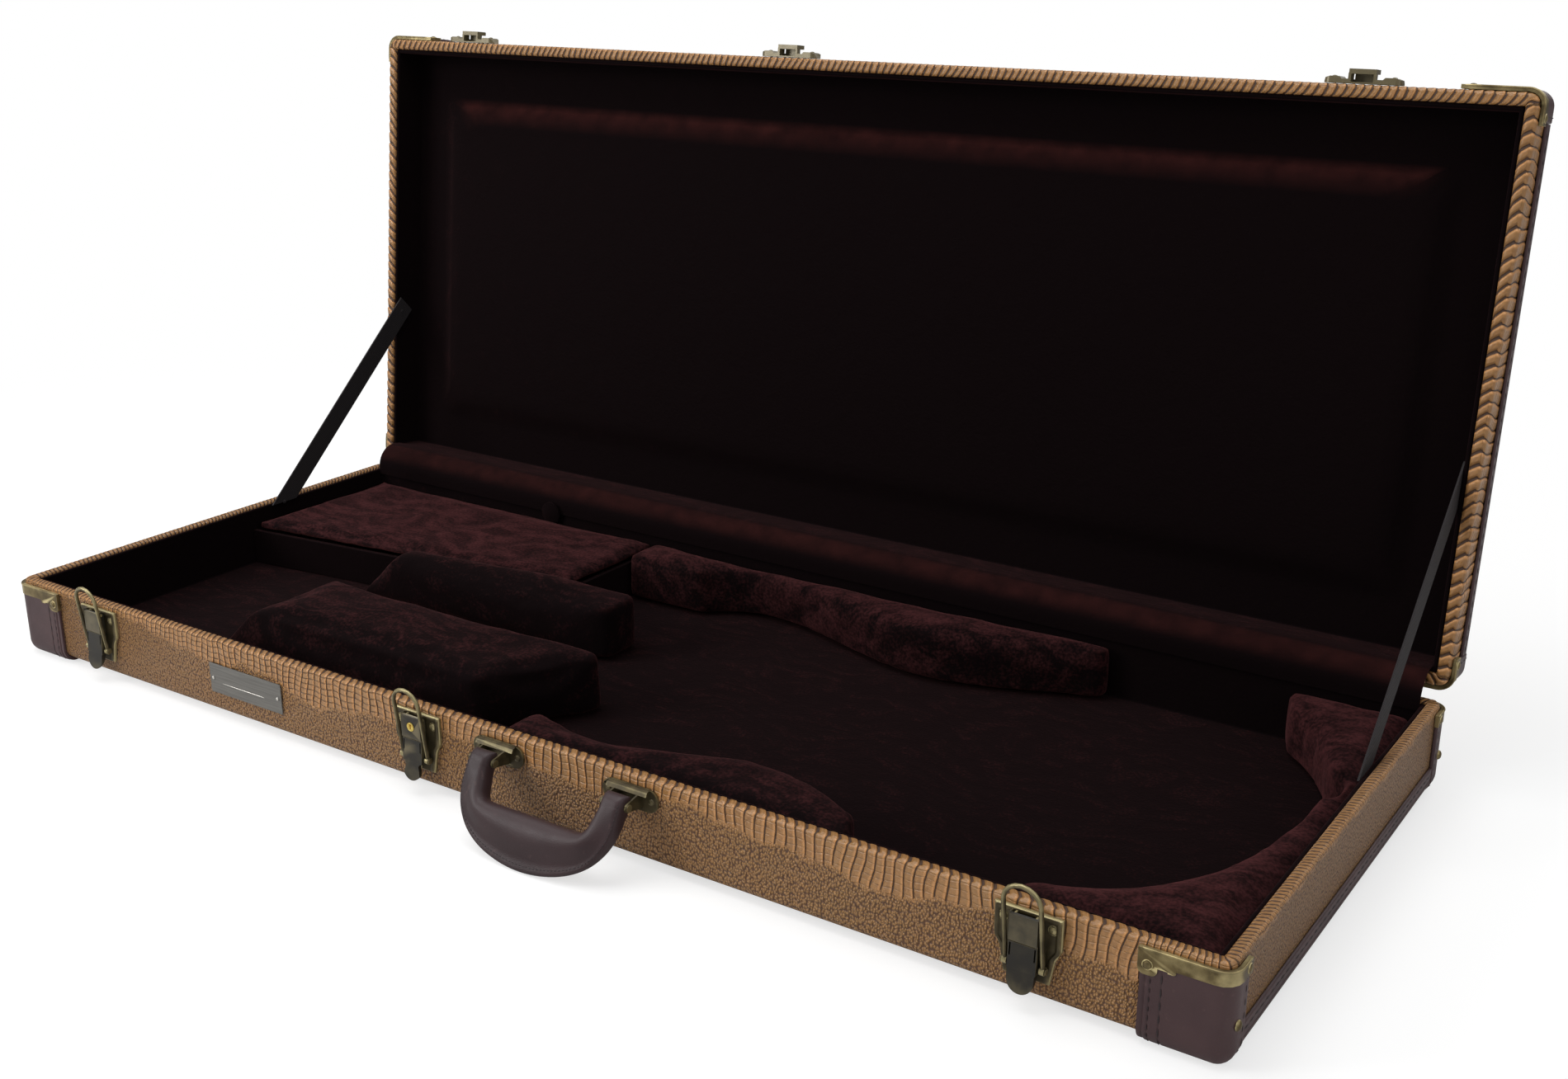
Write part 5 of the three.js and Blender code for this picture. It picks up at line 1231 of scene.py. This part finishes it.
def handle_surface(station, share, face):
    """Place on the handle at a fractional station, a share from its inner edge and a face of 1 or -1."""
    at = [np.interp(station, np.arange(len(stations)), column) for column in stations.T]
    inner_x, inner_z, outer_x, outer_z, thick, blend = at
    grip = np.interp(share, grip_line[:, 0], grip_line[:, 1])
    leg = np.power(np.maximum(1 - np.abs(2 * share - 1) ** 5, 0), 0.4)
    rise = (leg * (1 - blend) + grip * blend) * thick / 2
    x = inner_x + (outer_x - inner_x) * share
    z = inner_z + (outer_z - inner_z) * share
    y = rise * face
    turned = np.stack([
        x, y * math.cos(handle_tilt) - z * math.sin(handle_tilt),
        y * math.sin(handle_tilt) + z * math.cos(handle_tilt),
    ], axis=-1)
    return turned + handle_place


across = (1 - np.cos(np.linspace(0, math.pi, 41))) / 2
loop = np.concatenate([across, across[-2:0:-1]])
face = np.where(np.arange(len(loop)) < len(across), 1, -1)
count = len(stations)
rings = np.array([handle_surface(np.full(len(loop), row), loop, face) for row in range(count)])
faces = tube_faces(count, len(loop))
# Painted shade: the handle's leather is a darker tone of the caps' leather, for the less light that its
# hanging faces get.
handle_leather = worn_leather("handle_leather", colour(46, 32, 34), colour(56, 40, 42), colour(77, 58, 58))
points = rings.reshape(-1, 3)
piece_from("handle_leather_grip", points, faces, handle_leather, "handle", ["handle"], 60)
threads = []
for face in (1, -1):
    row = stitch_row(
        lambda station, share, face=face: handle_surface(station, share, face),
        (count * 0.2, lip_seam), (count * 0.8, lip_seam), 3.0,
    )
    threads.append((row[0], row[1], row[2] * face))
points, faces = stitch_mesh(threads, length=2.1, width=0.7, proud=0.35)
piece_from("handle_stitches", points, faces, thread, "handle", [], 60)


# Nameplate
# A small brushed metal plate held by two pins, bare but for a plain line.
def plate_recipe(start):
    place = start.node("TexCoord", {}, {}, 3)
    drawn = start.node("Mapping", {}, {"Vector": place, "Scale": (20, 1, 900)})
    streak = start.noise(drawn, 1.5, 4)
    tone = streak.ramp(0.3, 0.7).mix(colour(104, 102, 98), colour(122, 120, 115))
    bump = start.node("Bump", {}, {"Strength": 0.05, "Distance": 0.0001, "Height": streak})
    return {"Base Color": tone, "Roughness": 0.44 + streak * 0.12, "Normal": bump}


plate_metal = finish("dull_plate", plate_recipe, Metallic=0.6)
pin_metal = speckled(
    "bright_pins", colour(176, 172, 164), colour(222, 219, 212), 900, 3, Metallic=0.7, Roughness=0.3,
)
copy_of("nameplate", "nameplate_bare", plate_metal, 0.0002)
plate_middle = -258
plate_face = -half_width - 1.2
pin_height = 31
pin_reach = 37.5
line_height = 28
line_ends = (-27, 22)
pin_profile = ((1.5, -0.3), (1.5, 0.3), (1.2, 0.7), (0.6, 0.95))
pin_places = [(plate_middle + x, plate_face, pin_height) for x in (-pin_reach, pin_reach)]
pins = [turned_head(pin_profile, place, (0, -1, 0), 16) for place in pin_places]
line_path = [(plate_middle + x, plate_face + 0.05, line_height) for x in np.linspace(*line_ends, 12)]
points, faces = joined([*pins, rod(line_path, 0.35, 8)])
piece_from("nameplate_pins", points, faces, pin_metal, "base", [], 50)


# Stay straps
# Woven webbing riveted to the base's and the lid's end walls, which stops the lid from falling
# back.
def webbing_recipe(start):
    place = start.node("TexCoord", {}, {}, 3)
    weave = start.node("TexWave", {"bands_direction": "DIAGONAL"}, {"Vector": place, "Scale": 300.0})
    fuzz = start.noise(place, 900, 3)
    tone = (weave * 0.6 + fuzz * 0.4).ramp(0.2, 0.8).mix(colour(16, 12, 14), colour(34, 27, 29))
    bump = start.node("Bump", {}, {"Strength": 0.3, "Distance": 0.0004, "Height": weave})
    return {"Base Color": tone, "Normal": bump}


webbing = finish("stay_webbing", webbing_recipe, Roughness=0.85)
strap_hold = 0.004
for side in ("left", "right"):
    strap = copy_of(f"stay_strap_{side}", f"stay_webbing_{side}", webbing, rides=False)
    low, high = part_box(f"stay_strap_{side}")
    middle = (low[0] + high[0]) / 2
    start = (middle, low[1] + strap_hold, low[2] + strap_hold)
    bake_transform(strap, "base", "lid", start, (middle, high[1] - strap_hold, high[2] - strap_hold))
